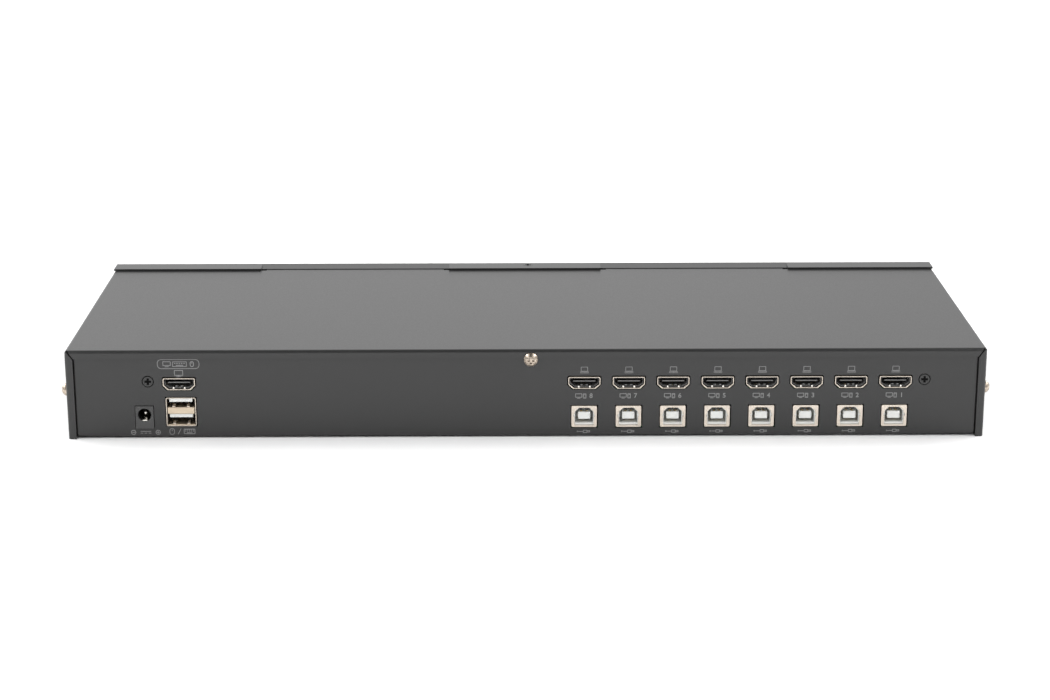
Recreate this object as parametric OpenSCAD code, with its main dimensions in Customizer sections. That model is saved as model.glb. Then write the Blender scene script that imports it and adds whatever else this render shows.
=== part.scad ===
// Eight-port KVM switch in a 1U sheet-steel case.
// Frame: +Z up, the socket panel faces -Y, the select buttons face +Y.
// Origin: centre of the case in plan, at the level of the cover's lower edges.

/* [Case] */
// Width over the cover's side walls
case_w = 432; // [430:1:440]
// Depth from the cover's rear flanges to the front wall
case_d = 160; // [150:1:200]
// Height of the cover, from its lower edges to its top
cover_h = 43.4; // [43:0.1:46]
// Thickness of the sheet steel
sheet_t = 1.0; // [0.8:0.1:1.1]
// Outer radius of the cover's folds
bend_r = 1.5; // [1.3:0.1:2.5]
// Height of the chassis pan's underside above the cover's lower edges
pan_z = 0.8; // [0.5:0.1:1]
// Height of the cover's rear top flange
top_flange_h = 4.0; // [3.5:0.1:4.5]
// Width of the cover's rear side flanges
side_flange_w = 3.8; // [3.5:0.1:4.2]

/* [Front strip] */
// Depth of the strip's fingers, which lie on the cover
finger_d = 12; // [11:0.1:13]
// Width of the middle finger
finger_w = 80; // [60:1:100]
// Distance from the middle of the strip to the outer fingers
finger_gap_x = 139; // [120:1:150]
// Sideways position of the middle finger
finger_mid_x = 0.5; // [-2:0.5:2]

/* [Sockets] */
// Number of computer ports
port_count = 8; // [2:1:8]
// Sideways position of port 1
port_1_x = 173.5; // [172:0.5:174]
// Distance between ports
port_pitch = 20.9; // [20.5:0.1:21]
// Height of the HDMI sockets' centres
hdmi_z = 26.9; // [26.5:0.1:27.5]
// Height of the USB-B sockets' centres
usb_b_z = 10.3; // [10.3:0.1:10.8]
// Sideways position of the console group
console_x = -163; // [-164:0.5:-160]
// Height of the double USB-A socket's centre
usb_a_z = 13.2; // [13:0.05:13.2]
// Sideways position of the power inlet
dc_x = -179.8; // [-181:0.2:-179]
// Radius of the power inlet's bore
dc_bore_r = 3.15; // [2.8:0.05:3.3]
// Radius of the power inlet's centre pin
dc_pin_r = 1.0; // [0.8:0.05:1.25]

/* [Buttons] */
// Distance between select buttons
button_pitch = 26; // [22:1:28]
// Width of a select button
button_w = 12; // [10:0.5:13]
// Height of a select button
button_h = 7; // [6:0.5:8]
// How far a button stands out of the front wall
button_proud = 2.2; // [1.8:0.1:3]
// How far a button travels when it is pressed
button_travel = 1.0; // [0.5:0.1:1]

/* [Vents] */
// Number of air slots in each of the two groups in the pan
vent_count = 5; // [3:1:6]
// Width of an air slot
vent_w = 6; // [5:0.5:7]
// Length of an air slot over its round ends
vent_len = 28; // [24:1:30]
// Distance between air slots
vent_pitch = 14; // [10:1:15]

/* [Screws] */
// Radius of the pan-head screws' heads on the case
case_head_r = 3.3; // [3:0.1:3.8]
// Height of those heads
case_head_h = 2.2; // [1.8:0.1:2.6]
// Radius of the countersunk heads
flat_head_r = 2.4; // [2.3:0.1:2.8]
// Radius of the rack-ear screw holes
ear_hole_r = 2.1; // [2:0.05:2.2]
// Distance between rack-ear holes along the side
ear_pitch_y = 30; // [25:1:32]
// Distance between rack-ear holes up the side
ear_pitch_z = 24; // [20:1:24]

/* [Hidden] */
$fn = 48;
eps = 0.01;

// Case planes
y_rear = -case_d / 2;
y_front = case_d / 2;
paint_gap = 0.1;
panel_y = y_rear + sheet_t + paint_gap;
panel_in_y = panel_y + sheet_t;
wall_in_y = y_front - sheet_t;
pan_top = pan_z + sheet_t;
cover_in_z = cover_h - sheet_t;
strip_z = cover_h + sheet_t;
fold_r = 1.2;
side_gap = 0.3;
chassis_x = case_w / 2 - sheet_t - side_gap;
panel_x = case_w / 2 - side_flange_w + 0.3;
panel_top = cover_in_z - 0.7;
wall_top = 38;
wall_rear_y = panel_in_y + 0.5;
tab_d = 9;
mitre_w = 0.6;
mitre_lean = 55;

// Front strip
strip_flat = 1.5;
lip_d = 9.6;
lip_t = 0.3;
relief_w = 2.8;
relief_d = 2.2;
lip_xs = [[finger_mid_x - finger_gap_x, finger_mid_x - finger_w / 2],
          [finger_mid_x + finger_w / 2, finger_mid_x + finger_gap_x]];
tongue_edge = 2.5;
strip_screw_x = 2.1;
strip_screw_y = y_front - 5;

// Screws
m3_hole_r = 1.5;
m3_shank_r = 1.45;
m3_clear_r = 1.7;
flat_head_d = 1.5;
sink_gap = 0.5;
flat_recess_w = 3.2;
flat_recess_depth = 0.65;
recess_arm = 0.34;
recess_depth = 0.4;
dimple_d = 2.2;
dimple_r = 3.9;
rear_screw_x = 2.1;
rear_screw_z = 38.7;
lug_r = 3.3;
boss_r = 3;
black_xs = [-177.6, 187.2];
black_z = 28;
side_screw_y = y_rear + 5;
side_screw_z = 23.2;
side_head_h = 2.8;
side_head_r = 3.0;
side_screw_len = 2.8;
board_head_r = 2.75;
board_head_h = 1.9;
stud_len = 1;

// Air slots in the pan
vent_x = 80;
vent_y = 43;

// Rack-ear holes
ear_y = y_front - 27;
ear_z = 22;
nut_r = 3.5;
nut_h = 2;
nut_hole_r = 1.65;

// Sockets
port_xs = [for (i = [0 : port_count - 1]) port_1_x - i * port_pitch];
hdmi_xs = concat(port_xs, [console_x]);
hdmi_w = 15.1;
hdmi_h = 5.8;
hdmi_depth = 12.5;
hdmi_t = 0.6;
hdmi_y = panel_y - 0.6;
usb_b_w = 12;
usb_b_h = 10.5;
usb_b_depth = 16;
usb_b_t = 0.4;
usb_b_y = panel_y - 0.4;
usb_a_x = console_x + 0.5;
usb_a_w = 14.1;
usb_a_h = 14.0;
usb_a_depth = 17.5;
usb_a_t = 0.5;
usb_a_y = panel_y - 0.5;
usb_a_floors = [-6.1, 2.3];
usb_a_open_h = [5.2, 4.4];
usb_a_tongue_h = 1.6;
dc_w = 8.5;
dc_h = 10.7;
dc_z = 10.65;
dc_bore_z = 11.7;
dc_depth = 14.4;
dc_y = panel_y - 0.5;
cut_gap = 0.3;
hdmi_cut_gap = 0.5;
usb_a_cut_gap = 0.45;

hdmi_slope = 2.2;
hdmi_knee = -0.8;
hdmi_corner = 0.6;
hdmi_tongue = [10.6, 0.8];
hdmi_tongue_z = 0.55;
hdmi_block = 3.5;
hdmi_hollow = 1.5;
usb_b_mouth_half = 4.4;
usb_b_mouth_top = 4.15;
usb_b_mouth_slope = 1.9;
usb_b_cavity = 9.5;
usb_b_tongue_x = [-2.8, 2.8];
usb_b_tongue_z = [-1.6, 2.2];
usb_b_hollow = 0.5;
usb_a_cavity = 11;
usb_a_tongue_x = [-5.3, 5.3];
usb_a_tongue_drop = 0.3;
dc_end = 2.5;
dc_pin_set = 3.3;

// Boards
board_t = 1.6;
main_top = 5;
hdmi_top = hdmi_z - hdmi_h / 2;
board_rear_y = panel_in_y + 0.4;
main_x = [-190, 196];
main_y = [board_rear_y, 20];
upper_x = [-186, 196];
upper_y = [board_rear_y, 0];
post_xs = [black_xs[0], rear_screw_x, black_xs[1]];
post_ys = [-60, -6];
front_post_y = 14;
post_r = 2.8;
pan_post_top = main_top - board_t;
bracket_t = 1.4;
bracket_w = 10;
bracket_y = panel_y + dimple_d;
sheet_film_t = 0.25;

// Button panel
overlay_t = 0.5;
overlay_x = 206;
overlay_z = [5, 39];
overlay_r = 3;
button_z = 20;
button_xs = [for (i = [0 : 7]) (3.5 - i) * button_pitch];
cap_gap = 0.3;
rim = 1.2;
rim_y = wall_in_y - cap_gap - rim;
stem_r = 1.9;
button_board_y = wall_in_y - 12;
switch_h = 3.5;
switch_w = 6;
switch_top = button_board_y + switch_h;
plunger_r = 1.7;
plunger_y = switch_top + 1.5;
plunger_gap = 0.25;
plunger_in = 1.5;
pipe_r = 1.5;
pipe_z = 30;
pipe_dx = 3.2;
pipe_hole_r = 1.6;
led_h = 0.6;
power_x = 112;
button_board_x = [-106, 118];
button_board_z = [7.5, 35];
front_post_xs = [-101, 103];
front_post_zs = [11.5, 31];

// Components on the boards
switch_chip_y = -50;
switch_chip_size = [9, 9, 0.9];
scaler_at = [-60, -32];
scaler_size = [19, 19, 1.3];
sink_size = [28, 28, 1.8];
fin_size = [1.1, 28, 6];
fin_pitch = 3.3;
hub_xs = [150, 95, 40];
hub_y = -44;
hub_size = [10, 10, 1.2];
controller_at = [-90, -30];
controller_size = [14, 14, 1.4];
can_xs = [-165, -153, -141, -60, 110, 150];
can_y = 12;
can_r = 4;
can_h = 11.5;
inductor_xs = [-125, -110];
inductor_y = 11;
inductor_size = [10, 10, 5];
crystal_xs = [136, -76];
crystal_y = -38;
crystal_size = [11, 4.6, 3.5];
small_crystal_at = [-38, -32];
small_crystal_size = [5, 3.2, 1.1];
buzzer_at = [20, 9];
buzzer_r = 6;
buzzer_h = 8.5;
sound_hole_r = 1;
sound_hole_d = 1.5;
link_xs = [-40, 125];
link_y = -14;
link_w = 50;
link_d = 5;

// Ribbon
ribbon_x = 60;
ribbon_w = 20;
ribbon_t = 0.8;
ribbon_z = 12;
ribbon_hump = 12;
ribbon_steps = 48;
ribbon_y = [17, 59];
header_w = 24;
header_d = 6;
header_h = 9;

// ---------- helpers ----------

// A box between pairs of limits.
module span(x, y, z) {
    translate([x[0], y[0], z[0]])
        cube([x[1] - x[0], y[1] - y[0], z[1] - z[0]]);
}

// A flat shape drawn in X and Z, made solid from y0 over a length.
module along_y(y0, len) {
    translate([0, y0 + len, 0])
        rotate([90, 0, 0])
            linear_extrude(len)
                children();
}

// A flat shape drawn in Y and Z, made solid between two X values.
module along_x(x0, x1) {
    translate([x0, 0, 0])
        rotate([90, 0, 90])
            linear_extrude(x1 - x0)
                children();
}

// A cylinder along +Y.
module rod_y(x, y, z, r, len) {
    translate([x, y, z])
        rotate([-90, 0, 0])
            cylinder(r = r, h = len);
}

// A cylinder along +X.
module rod_x(x, y, z, r, len) {
    translate([x, y, z])
        rotate([0, 90, 0])
            cylinder(r = r, h = len);
}

// Left and right copies.
module both_sides() {
    children();
    mirror([1, 0, 0])
        children();
}

// A rectangle from the origin whose corner at the origin is rounded.
module round_corner(l, h, r) {
    translate([r, 0])
        square([l - r, h]);
    translate([0, r])
        square([l, h - r]);
    translate([r, r])
        circle(r);
}

// A folded sheet seen end on: two legs from a rounded corner at the origin.
module folded(l, h, t, r) {
    difference() {
        round_corner(l, h, r);
        translate([t, t])
            round_corner(l, h, r - t);
    }
}

// The crossed recess of a screw, cut downwards from z = 0.
module cross_recess(size, depth) {
    for (turn = [0, 90])
        rotate(turn)
            translate([-size / 2, -size * recess_arm / 2, -depth])
                cube([size, size * recess_arm, depth + 1]);
}

// A pan-head screw whose head rests on z = 0 and whose shank points down.
module pan_screw(head_r, head_h, len) {
    cap_h = head_h * 0.7;
    dome_r = (head_r * head_r + cap_h * cap_h) / (2 * cap_h);
    difference() {
        union() {
            intersection() {
                translate([0, 0, head_h - dome_r])
                    sphere(dome_r);
                cylinder(r = head_r, h = head_h + 1);
            }
            translate([0, 0, -len])
                cylinder(r = m3_shank_r, h = len + 0.5);
        }
        translate([0, 0, head_h])
            cross_recess(head_r, recess_depth * head_r);
    }
}

// A countersunk screw whose flat head is flush with z = 0.
module flat_screw(head_r, head_d, len) {
    difference() {
        union() {
            translate([0, 0, -head_d])
                cylinder(r1 = m3_shank_r, r2 = head_r, h = head_d);
            translate([0, 0, -len])
                cylinder(r = m3_shank_r, h = len - head_d + eps);
        }
        cross_recess(flat_recess_w, flat_recess_depth * head_d);
    }
}

// ---------- case ----------

// The space that the folded cover wraps, drawn in by one wall thickness for its inside.
module cover_block(inset) {
    half = case_w / 2 - inset;
    r = bend_r - inset;
    depth = case_d - inset + 5 * inset;
    low = -5 * inset;
    intersection() {
        along_y(y_rear + inset, depth) {
            translate([-half, low])
                square([2 * half, cover_h - inset - r - low]);
            translate([-half + r, low])
                square([2 * (half - r), cover_h - inset - low]);
            for (side = [-1, 1])
                translate([side * (half - r), cover_h - inset - r])
                    circle(r);
        }
        along_x(-half, half)
            translate([y_rear + inset, cover_h - inset])
                mirror([0, 1])
                    round_corner(depth, cover_h - inset - low, r);
        translate([0, 0, low])
            linear_extrude(cover_h - low)
                for (side = [0, 1])
                    mirror([side, 0])
                        translate([-half, y_rear + inset])
                            round_corner(half + eps, depth, r);
    }
}

// The slanting gap between the rear top flange and a side flange.
module mitre_gap() {
    translate([case_w / 2 - side_flange_w, y_rear - 1, cover_h - top_flange_h])
        rotate([0, -mitre_lean, 0])
            translate([-1, 0, -mitre_w / 2])
                cube([side_flange_w * 1.6, sheet_t + 1.6, mitre_w]);
}

module ear_holes(x, len, r) {
    for (j = [-1, 1], k = [-1, 1])
        rod_x(x, ear_y + j * ear_pitch_y / 2, ear_z + k * ear_pitch_z / 2, r, len);
}

module top_cover() {
    flange_x = case_w / 2 - side_flange_w;
    color([0.27, 0.27, 0.28])
    difference() {
        union() {
            difference() {
                cover_block(0);
                cover_block(sheet_t);
                span([-flange_x, flange_x], [y_rear - 1, y_rear + sheet_t + 1],
                     [-1, cover_h - top_flange_h]);
                both_sides()
                    mitre_gap();
                span([-case_w, case_w], [y_front - tongue_edge, y_front + 1],
                     [cover_in_z - bend_r, cover_h + 1]);
                span([-case_w, case_w], [wall_in_y - side_gap, y_front + 1], [-1, cover_h + 1]);
                for (x = lip_xs, start = [x[0], x[1] - relief_w])
                    span([start, start + relief_w], [y_front - lip_d - relief_d, y_front - lip_d],
                         [cover_in_z - 1, cover_h + 1]);
            }
            rod_y(rear_screw_x, y_rear, rear_screw_z, lug_r, sheet_t);
        }
        rod_y(rear_screw_x, y_rear - 1, rear_screw_z, m3_clear_r, 3);
        translate([strip_screw_x, strip_screw_y, cover_in_z - 1])
            cylinder(r = m3_clear_r, h = 3);
        both_sides() {
            rod_x(case_w / 2 - 3, side_screw_y, side_screw_z, m3_clear_r, 4);
            ear_holes(case_w / 2 - 3, 4, ear_hole_r);
        }
    }
}

// Front wall, its top fold and the strip that lies over the cover: three flat fingers, and
// between them a lip pressed thin towards its edge.
module front_wall() {
    difference() {
        along_x(-case_w / 2, case_w / 2)
            translate([y_front, strip_z])
                mirror([1, 0])
                    mirror([0, 1])
                        folded(strip_flat, strip_z - pan_z - fold_r, sheet_t, fold_r);
        for (x = button_xs)
            span([x - button_w / 2 - cap_gap, x + button_w / 2 + cap_gap], [wall_in_y - 1, y_front + 1],
                 [button_z - button_h / 2 - cap_gap, button_z + button_h / 2 + cap_gap]);
        light_holes(wall_in_y - 1, 3);
    }
    for (x = [[-case_w / 2, finger_mid_x - finger_gap_x],
              [finger_mid_x - finger_w / 2, finger_mid_x + finger_w / 2],
              [finger_mid_x + finger_gap_x, case_w / 2]])
        span(x, [y_front - finger_d, y_front - strip_flat + eps], [cover_h, strip_z]);
    for (x = lip_xs)
        along_x(x[0] - eps, x[1] + eps)
            polygon([
                [y_front - strip_flat + eps, strip_z],
                [y_front - lip_d, cover_h + lip_t],
                [y_front - lip_d, cover_h],
                [y_front - strip_flat + eps, cover_h]
            ]);
}

module light_holes(y, len) {
    for (x = button_xs, dx = [-pipe_dx, pipe_dx])
        rod_y(x + dx, y, pipe_z, pipe_hole_r, len);
    rod_y(power_x, y, button_z, pipe_hole_r, len);
}

// The HDMI mouth: straight sides above, sloping sides below.
module hdmi_outline(grow) {
    half = hdmi_w / 2 + grow;
    top = hdmi_h / 2 + grow;
    polygon([
        [-half + hdmi_corner, top],
        [half - hdmi_corner, top],
        [half, top - hdmi_corner],
        [half, hdmi_knee - grow / 2],
        [half - hdmi_slope, -top],
        [-half + hdmi_slope, -top],
        [-half, hdmi_knee - grow / 2],
        [-half, top - hdmi_corner]
    ]);
}

module panel_cutouts() {
    y = panel_y - 1;
    len = sheet_t + 2;
    for (x = hdmi_xs)
        along_y(y, len)
            translate([x, hdmi_z])
                hdmi_outline(hdmi_cut_gap);
    for (x = port_xs)
        span([x - usb_b_w / 2 - cut_gap, x + usb_b_w / 2 + 2 * cut_gap], [y, y + len],
             [usb_b_z - usb_b_h / 2 - 1.5 * cut_gap, usb_b_z + usb_b_h / 2 + cut_gap]);
    span([usb_a_x - usb_a_w / 2 - usb_a_cut_gap, usb_a_x + usb_a_w / 2 + usb_a_cut_gap], [y, y + len],
         [usb_a_z - usb_a_h / 2 - cut_gap, usb_a_z + usb_a_h / 2 + cut_gap]);
    span([dc_x - dc_w / 2 - cut_gap, dc_x + dc_w / 2 + cut_gap], [y, y + len],
         [dc_z - dc_h / 2 - cut_gap, dc_z + dc_h / 2 + cut_gap]);
}

module rear_panel() {
    edge = panel_x - fold_r;
    difference() {
        union() {
            along_x(-edge, edge)
                translate([panel_y, pan_z])
                    folded(20, panel_top - pan_z, sheet_t, fold_r);
            both_sides()
                translate([-panel_x, panel_y, pan_z + fold_r])
                    linear_extrude(panel_top - pan_z - fold_r)
                        folded(fold_r * 2 + eps, tab_d, sheet_t, fold_r);
            for (x = black_xs)
                rod_y(x, panel_y + eps, black_z, dimple_r, dimple_d - eps);
            rod_y(rear_screw_x, panel_y + eps, rear_screw_z, boss_r, dimple_d);
        }
        panel_cutouts();
        rod_y(rear_screw_x, panel_y - 1, rear_screw_z, m3_hole_r, 6);
        for (x = black_xs) {
            rod_y(x, panel_y - 1, black_z, m3_clear_r, 6);
            translate([x, panel_y - eps, black_z])
                rotate([-90, 0, 0])
                    cylinder(r1 = flat_head_r + sink_gap, r2 = m3_clear_r - 0.1, h = flat_head_d + 0.1);
        }
    }
}

// Two groups of round-ended slots through the pan, beside the middle of the case.
module air_slots() {
    reach = (vent_len - vent_w) / 2;
    translate([0, 0, pan_z - 1])
        linear_extrude(sheet_t + 2)
            for (side = [-1, 1], i = [0 : vent_count - 1])
                translate([side * (vent_x + i * vent_pitch), vent_y]) {
                    square([vent_w, 2 * reach], center = true);
                    for (end = [-1, 1])
                        translate([0, end * reach])
                            circle(vent_w / 2);
                }
}

module base_chassis() {
    color([0.26, 0.26, 0.27])
    difference() {
        union() {
            front_wall();
            rear_panel();
            span([-chassis_x + fold_r, chassis_x - fold_r], [panel_y + fold_r * 2, y_front - fold_r],
                 [pan_z, pan_top]);
            along_x(-chassis_x + fold_r, chassis_x - fold_r)
                translate([y_front, pan_z])
                    mirror([1, 0])
                        folded(fold_r * 2, fold_r * 2, sheet_t, fold_r);
            both_sides()
                along_y(wall_rear_y, wall_in_y - wall_rear_y + eps)
                    translate([-chassis_x, pan_z])
                        folded(fold_r * 2, wall_top - pan_z, sheet_t, fold_r);
        }
        translate([strip_screw_x, strip_screw_y, cover_h - eps])
            cylinder(r1 = m3_clear_r, r2 = flat_head_r + 0.2, h = sheet_t + 2 * eps);
        air_slots();
        both_sides() {
            rod_x(chassis_x - 2, side_screw_y, side_screw_z, m3_hole_r, 4);
            ear_holes(chassis_x - 2, 3, ear_hole_r);
        }
    }
}

// ---------- front controls ----------

module front_overlay() {
    color([0.10, 0.10, 0.11])
    difference() {
        along_y(y_front, overlay_t)
            for (side = [0, 1])
                mirror([side, 0])
                    intersection() {
                        translate([-overlay_x, overlay_z[0]])
                            round_corner(overlay_x + eps, overlay_z[1] - overlay_z[0], overlay_r);
                        translate([-overlay_x, overlay_z[1]])
                            mirror([0, 1])
                                round_corner(overlay_x + eps, overlay_z[1] - overlay_z[0], overlay_r);
                    }
        for (x = button_xs)
            span([x - button_w / 2 - cap_gap, x + button_w / 2 + cap_gap], [y_front - 1, y_front + 2],
                 [button_z - button_h / 2 - cap_gap, button_z + button_h / 2 + cap_gap]);
        light_holes(y_front - 1, 3);
    }
}

// A select button: a cap through the wall, a rim behind it, and a stem to the switch.
module button(index) {
    x = button_xs[index];
    color([0.16, 0.16, 0.17]) {
        span([x - button_w / 2, x + button_w / 2], [rim_y + rim - eps, y_front + button_proud],
             [button_z - button_h / 2, button_z + button_h / 2]);
        span([x - button_w / 2 - rim, x + button_w / 2 + rim], [rim_y, rim_y + rim],
             [button_z - button_h / 2 - rim, button_z + button_h / 2 + rim]);
        rod_y(x, plunger_y, button_z, stem_r, rim_y - plunger_y + eps);
    }
}

module switch_plunger(index) {
    color([0.85, 0.83, 0.78])
        rod_y(button_xs[index], switch_top - plunger_in, button_z, plunger_r,
              plunger_y - switch_top + plunger_in);
}

module switch_housings() {
    color([0.12, 0.12, 0.12])
        for (x = button_xs)
            difference() {
                span([x - switch_w / 2, x + switch_w / 2], [button_board_y, switch_top],
                     [button_z - switch_w / 2, button_z + switch_w / 2]);
                rod_y(x, switch_top - plunger_in - button_travel - 0.3, button_z, plunger_r + plunger_gap,
                      switch_h);
            }
}

module button_board() {
    color([0.05, 0.30, 0.14])
    difference() {
        span(button_board_x, [button_board_y - board_t, button_board_y], button_board_z);
        for (x = front_post_xs, z = front_post_zs)
            rod_y(x, button_board_y - board_t - 1, z, m3_clear_r, board_t + 2);
    }
}

module light_pipe(x, z) {
    y = button_board_y + led_h + 0.2;
    rod_y(x, y, z, pipe_r, y_front + overlay_t + 0.3 - y);
}

module port_light_pipes() {
    color([0.85, 0.90, 0.88])
        for (x = button_xs, dx = [-pipe_dx, pipe_dx])
            light_pipe(x + dx, pipe_z);
}

module power_light_pipe() {
    color([0.80, 0.88, 0.95])
        light_pipe(power_x, button_z);
}

module led(x, z) {
    span([x - 0.8, x + 0.8], [button_board_y, button_board_y + led_h], [z - 0.4, z + 0.4]);
}

module port_leds() {
    color([0.95, 0.92, 0.75])
        for (x = button_xs, dx = [-pipe_dx, pipe_dx])
            led(x + dx, pipe_z);
}

module power_led() {
    color([0.80, 0.88, 1.0])
        led(power_x, button_z);
}

// ---------- boards and sockets ----------

module main_board() {
    color([0.05, 0.30, 0.14])
    difference() {
        span(main_x, main_y, [main_top - board_t, main_top]);
        for (x = post_xs, y = concat(post_ys, [front_post_y]))
            translate([x, y, main_top - board_t - 1])
                cylinder(r = m3_clear_r, h = board_t + 2);
    }
}

module hdmi_board() {
    color([0.05, 0.30, 0.14])
    difference() {
        span(upper_x, upper_y, [hdmi_top - board_t, hdmi_top]);
        for (x = post_xs, y = post_ys)
            translate([x, y, hdmi_top - board_t - 1])
                cylinder(r = m3_clear_r, h = board_t + 2);
    }
}

module hdmi_shells() {
    color([0.72, 0.69, 0.64])
        for (x = hdmi_xs)
            translate([x, 0, hdmi_z])
                difference() {
                    along_y(hdmi_y, hdmi_depth)
                        hdmi_outline(0);
                    along_y(hdmi_y - 1, hdmi_depth - 0.5)
                        hdmi_outline(-hdmi_t);
                }
}

// Tongue and back block of an HDMI socket.
module hdmi_inserts() {
    back_y = hdmi_y + hdmi_depth - hdmi_hollow - hdmi_block;
    color([0.10, 0.10, 0.10])
        for (x = hdmi_xs)
            translate([x, 0, hdmi_z]) {
                along_y(back_y, hdmi_block)
                    hdmi_outline(-hdmi_t);
                span([-hdmi_tongue[0] / 2, hdmi_tongue[0] / 2], [hdmi_y + 1, back_y + eps],
                     [hdmi_tongue_z - hdmi_tongue[1] / 2, hdmi_tongue_z + hdmi_tongue[1] / 2]);
            }
}

// The USB-B mouth: square below, sloping corners above.
module usb_b_mouth() {
    half = usb_b_mouth_half;
    slope = usb_b_mouth_slope;
    top = usb_b_mouth_top;
    polygon([
        [-half, -top],
        [half, -top],
        [half, top - slope],
        [half - slope, top],
        [-half + slope, top],
        [-half, top - slope]
    ]);
}

module usb_b_shells() {
    in_w = usb_b_w / 2 - usb_b_t;
    in_h = usb_b_h / 2 - usb_b_t;
    color([0.74, 0.70, 0.64])
        for (x = port_xs)
            translate([x, 0, usb_b_z])
                difference() {
                    span([-usb_b_w / 2, usb_b_w / 2], [usb_b_y, usb_b_y + usb_b_depth],
                         [-usb_b_h / 2, usb_b_h / 2]);
                    span([-in_w, in_w], [usb_b_y + usb_b_t, usb_b_y + usb_b_depth + 1], [-in_h, in_h]);
                    along_y(usb_b_y - 1, usb_b_t + 2)
                        usb_b_mouth();
                }
}

// White block with the plug's cavity and the contact tongue in its middle.
module usb_b_inserts() {
    in_w = usb_b_w / 2 - usb_b_t;
    in_h = usb_b_h / 2 - usb_b_t;
    y = usb_b_y + usb_b_t;
    color([0.93, 0.93, 0.91])
        for (x = port_xs)
            translate([x, 0, usb_b_z]) {
                difference() {
                    span([-in_w, in_w], [y, usb_b_y + usb_b_depth - usb_b_hollow], [-in_h, in_h]);
                    along_y(y - 1, usb_b_cavity + 1)
                        usb_b_mouth();
                }
                span(usb_b_tongue_x, [y + 0.8, y + usb_b_cavity + eps], usb_b_tongue_z);
            }
}

module usb_a_shell() {
    in_w = usb_a_w / 2 - usb_a_t;
    color([0.74, 0.70, 0.64])
        translate([usb_a_x, 0, usb_a_z])
            difference() {
                span([-usb_a_w / 2, usb_a_w / 2], [usb_a_y, usb_a_y + usb_a_depth],
                     [-usb_a_h / 2, usb_a_h / 2]);
                for (i = [0, 1])
                    span([-in_w, in_w], [usb_a_y - 1, usb_a_y + usb_a_depth + 1],
                         [usb_a_floors[i], usb_a_floors[i] + usb_a_open_h[i]]);
            }
}

module usb_a_inserts() {
    in_w = usb_a_w / 2 - usb_a_t;
    back_y = usb_a_y + usb_a_cavity;
    color([0.93, 0.93, 0.91])
        translate([usb_a_x, 0, usb_a_z])
            for (i = [0, 1]) {
                top = usb_a_floors[i] + usb_a_open_h[i];
                span([-in_w, in_w], [back_y, usb_a_y + usb_a_depth - 0.5], [usb_a_floors[i], top]);
                span(usb_a_tongue_x, [usb_a_y + 0.6, back_y + eps],
                     [top - usb_a_tongue_drop - usb_a_tongue_h, top - usb_a_tongue_drop]);
            }
}

module dc_jack_housing() {
    color([0.13, 0.13, 0.14])
    difference() {
        union() {
            span([dc_x - dc_w / 2, dc_x + dc_w / 2], [dc_y, board_rear_y - 0.1],
                 [dc_z - dc_h / 2, dc_z + dc_h / 2]);
            span([dc_x - dc_w / 2, dc_x + dc_w / 2], [board_rear_y - 0.1 - eps, dc_y + dc_depth],
                 [main_top, dc_z + dc_h / 2]);
        }
        rod_y(dc_x, dc_y - 1, dc_bore_z, dc_bore_r, dc_depth + 1 - dc_end);
    }
}

module dc_jack_pin() {
    color([0.80, 0.80, 0.78])
        rod_y(dc_x, dc_y + dc_pin_set, dc_bore_z, dc_pin_r, dc_depth - dc_end - dc_pin_set);
}

// ---------- components on the boards ----------

// A flat chip centred on a place, standing on a board.
module chip(at, size, base) {
    span([at[0] - size[0] / 2, at[0] + size[0] / 2], [at[1] - size[1] / 2, at[1] + size[1] / 2],
         [base, base + size[2]]);
}

module hdmi_switch_chips() {
    color([0.11, 0.11, 0.12])
        for (i = [0 : 3])
            chip([port_1_x - (2 * i + 0.5) * port_pitch, switch_chip_y], switch_chip_size, hdmi_top);
}

module scaler_chip() {
    color([0.11, 0.11, 0.12])
        chip(scaler_at, scaler_size, hdmi_top);
}

// Finned heat sink on the scaler chip.
module heat_sink() {
    base = hdmi_top + scaler_size[2];
    color([0.20, 0.20, 0.21]) {
        chip(scaler_at, sink_size, base);
        for (i = [-4 : 4])
            chip([scaler_at[0] + i * fin_pitch, scaler_at[1]], fin_size, base + sink_size[2] - eps);
    }
}

module usb_hub_chips() {
    color([0.11, 0.11, 0.12])
        for (x = hub_xs)
            chip([x, hub_y], hub_size, main_top);
}

module controller_chip() {
    color([0.11, 0.11, 0.12])
        chip(controller_at, controller_size, main_top);
}

module capacitors() {
    color([0.14, 0.15, 0.20])
        for (x = can_xs)
            translate([x, can_y, main_top])
                cylinder(r = can_r, h = can_h);
}

module inductors() {
    color([0.22, 0.22, 0.22])
        for (x = inductor_xs)
            chip([x, inductor_y], inductor_size, main_top);
}

module crystals() {
    color([0.75, 0.75, 0.76]) {
        for (x = crystal_xs)
            chip([x, crystal_y], crystal_size, main_top);
        chip(small_crystal_at, small_crystal_size, hdmi_top);
    }
}

module buzzer() {
    color([0.08, 0.08, 0.08])
        translate([buzzer_at[0], buzzer_at[1], main_top])
            difference() {
                cylinder(r = buzzer_r, h = buzzer_h);
                translate([0, 0, buzzer_h - sound_hole_d])
                    cylinder(r = sound_hole_r, h = sound_hole_d + 1);
            }
}

// Pin headers that join the two boards.
module board_connectors() {
    color([0.09, 0.09, 0.09])
        for (x = link_xs)
            chip([x, link_y], [link_w, link_d, hdmi_top - board_t - main_top], main_top);
}

module ribbon_headers() {
    color([0.10, 0.10, 0.10]) {
        chip([ribbon_x, ribbon_y[0] - header_d / 2], [header_w, header_d, header_h], main_top);
        span([ribbon_x - header_w / 2, ribbon_x + header_w / 2],
             [ribbon_y[1], button_board_y - board_t], [ribbon_z - header_d / 2, ribbon_z + header_d / 2]);
    }
}

// Height of the flat cable's slack, t going from 0 to 1 along it.
function ribbon_rise(t) = ribbon_hump * (1 - cos(360 * t)) / 2;
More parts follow.
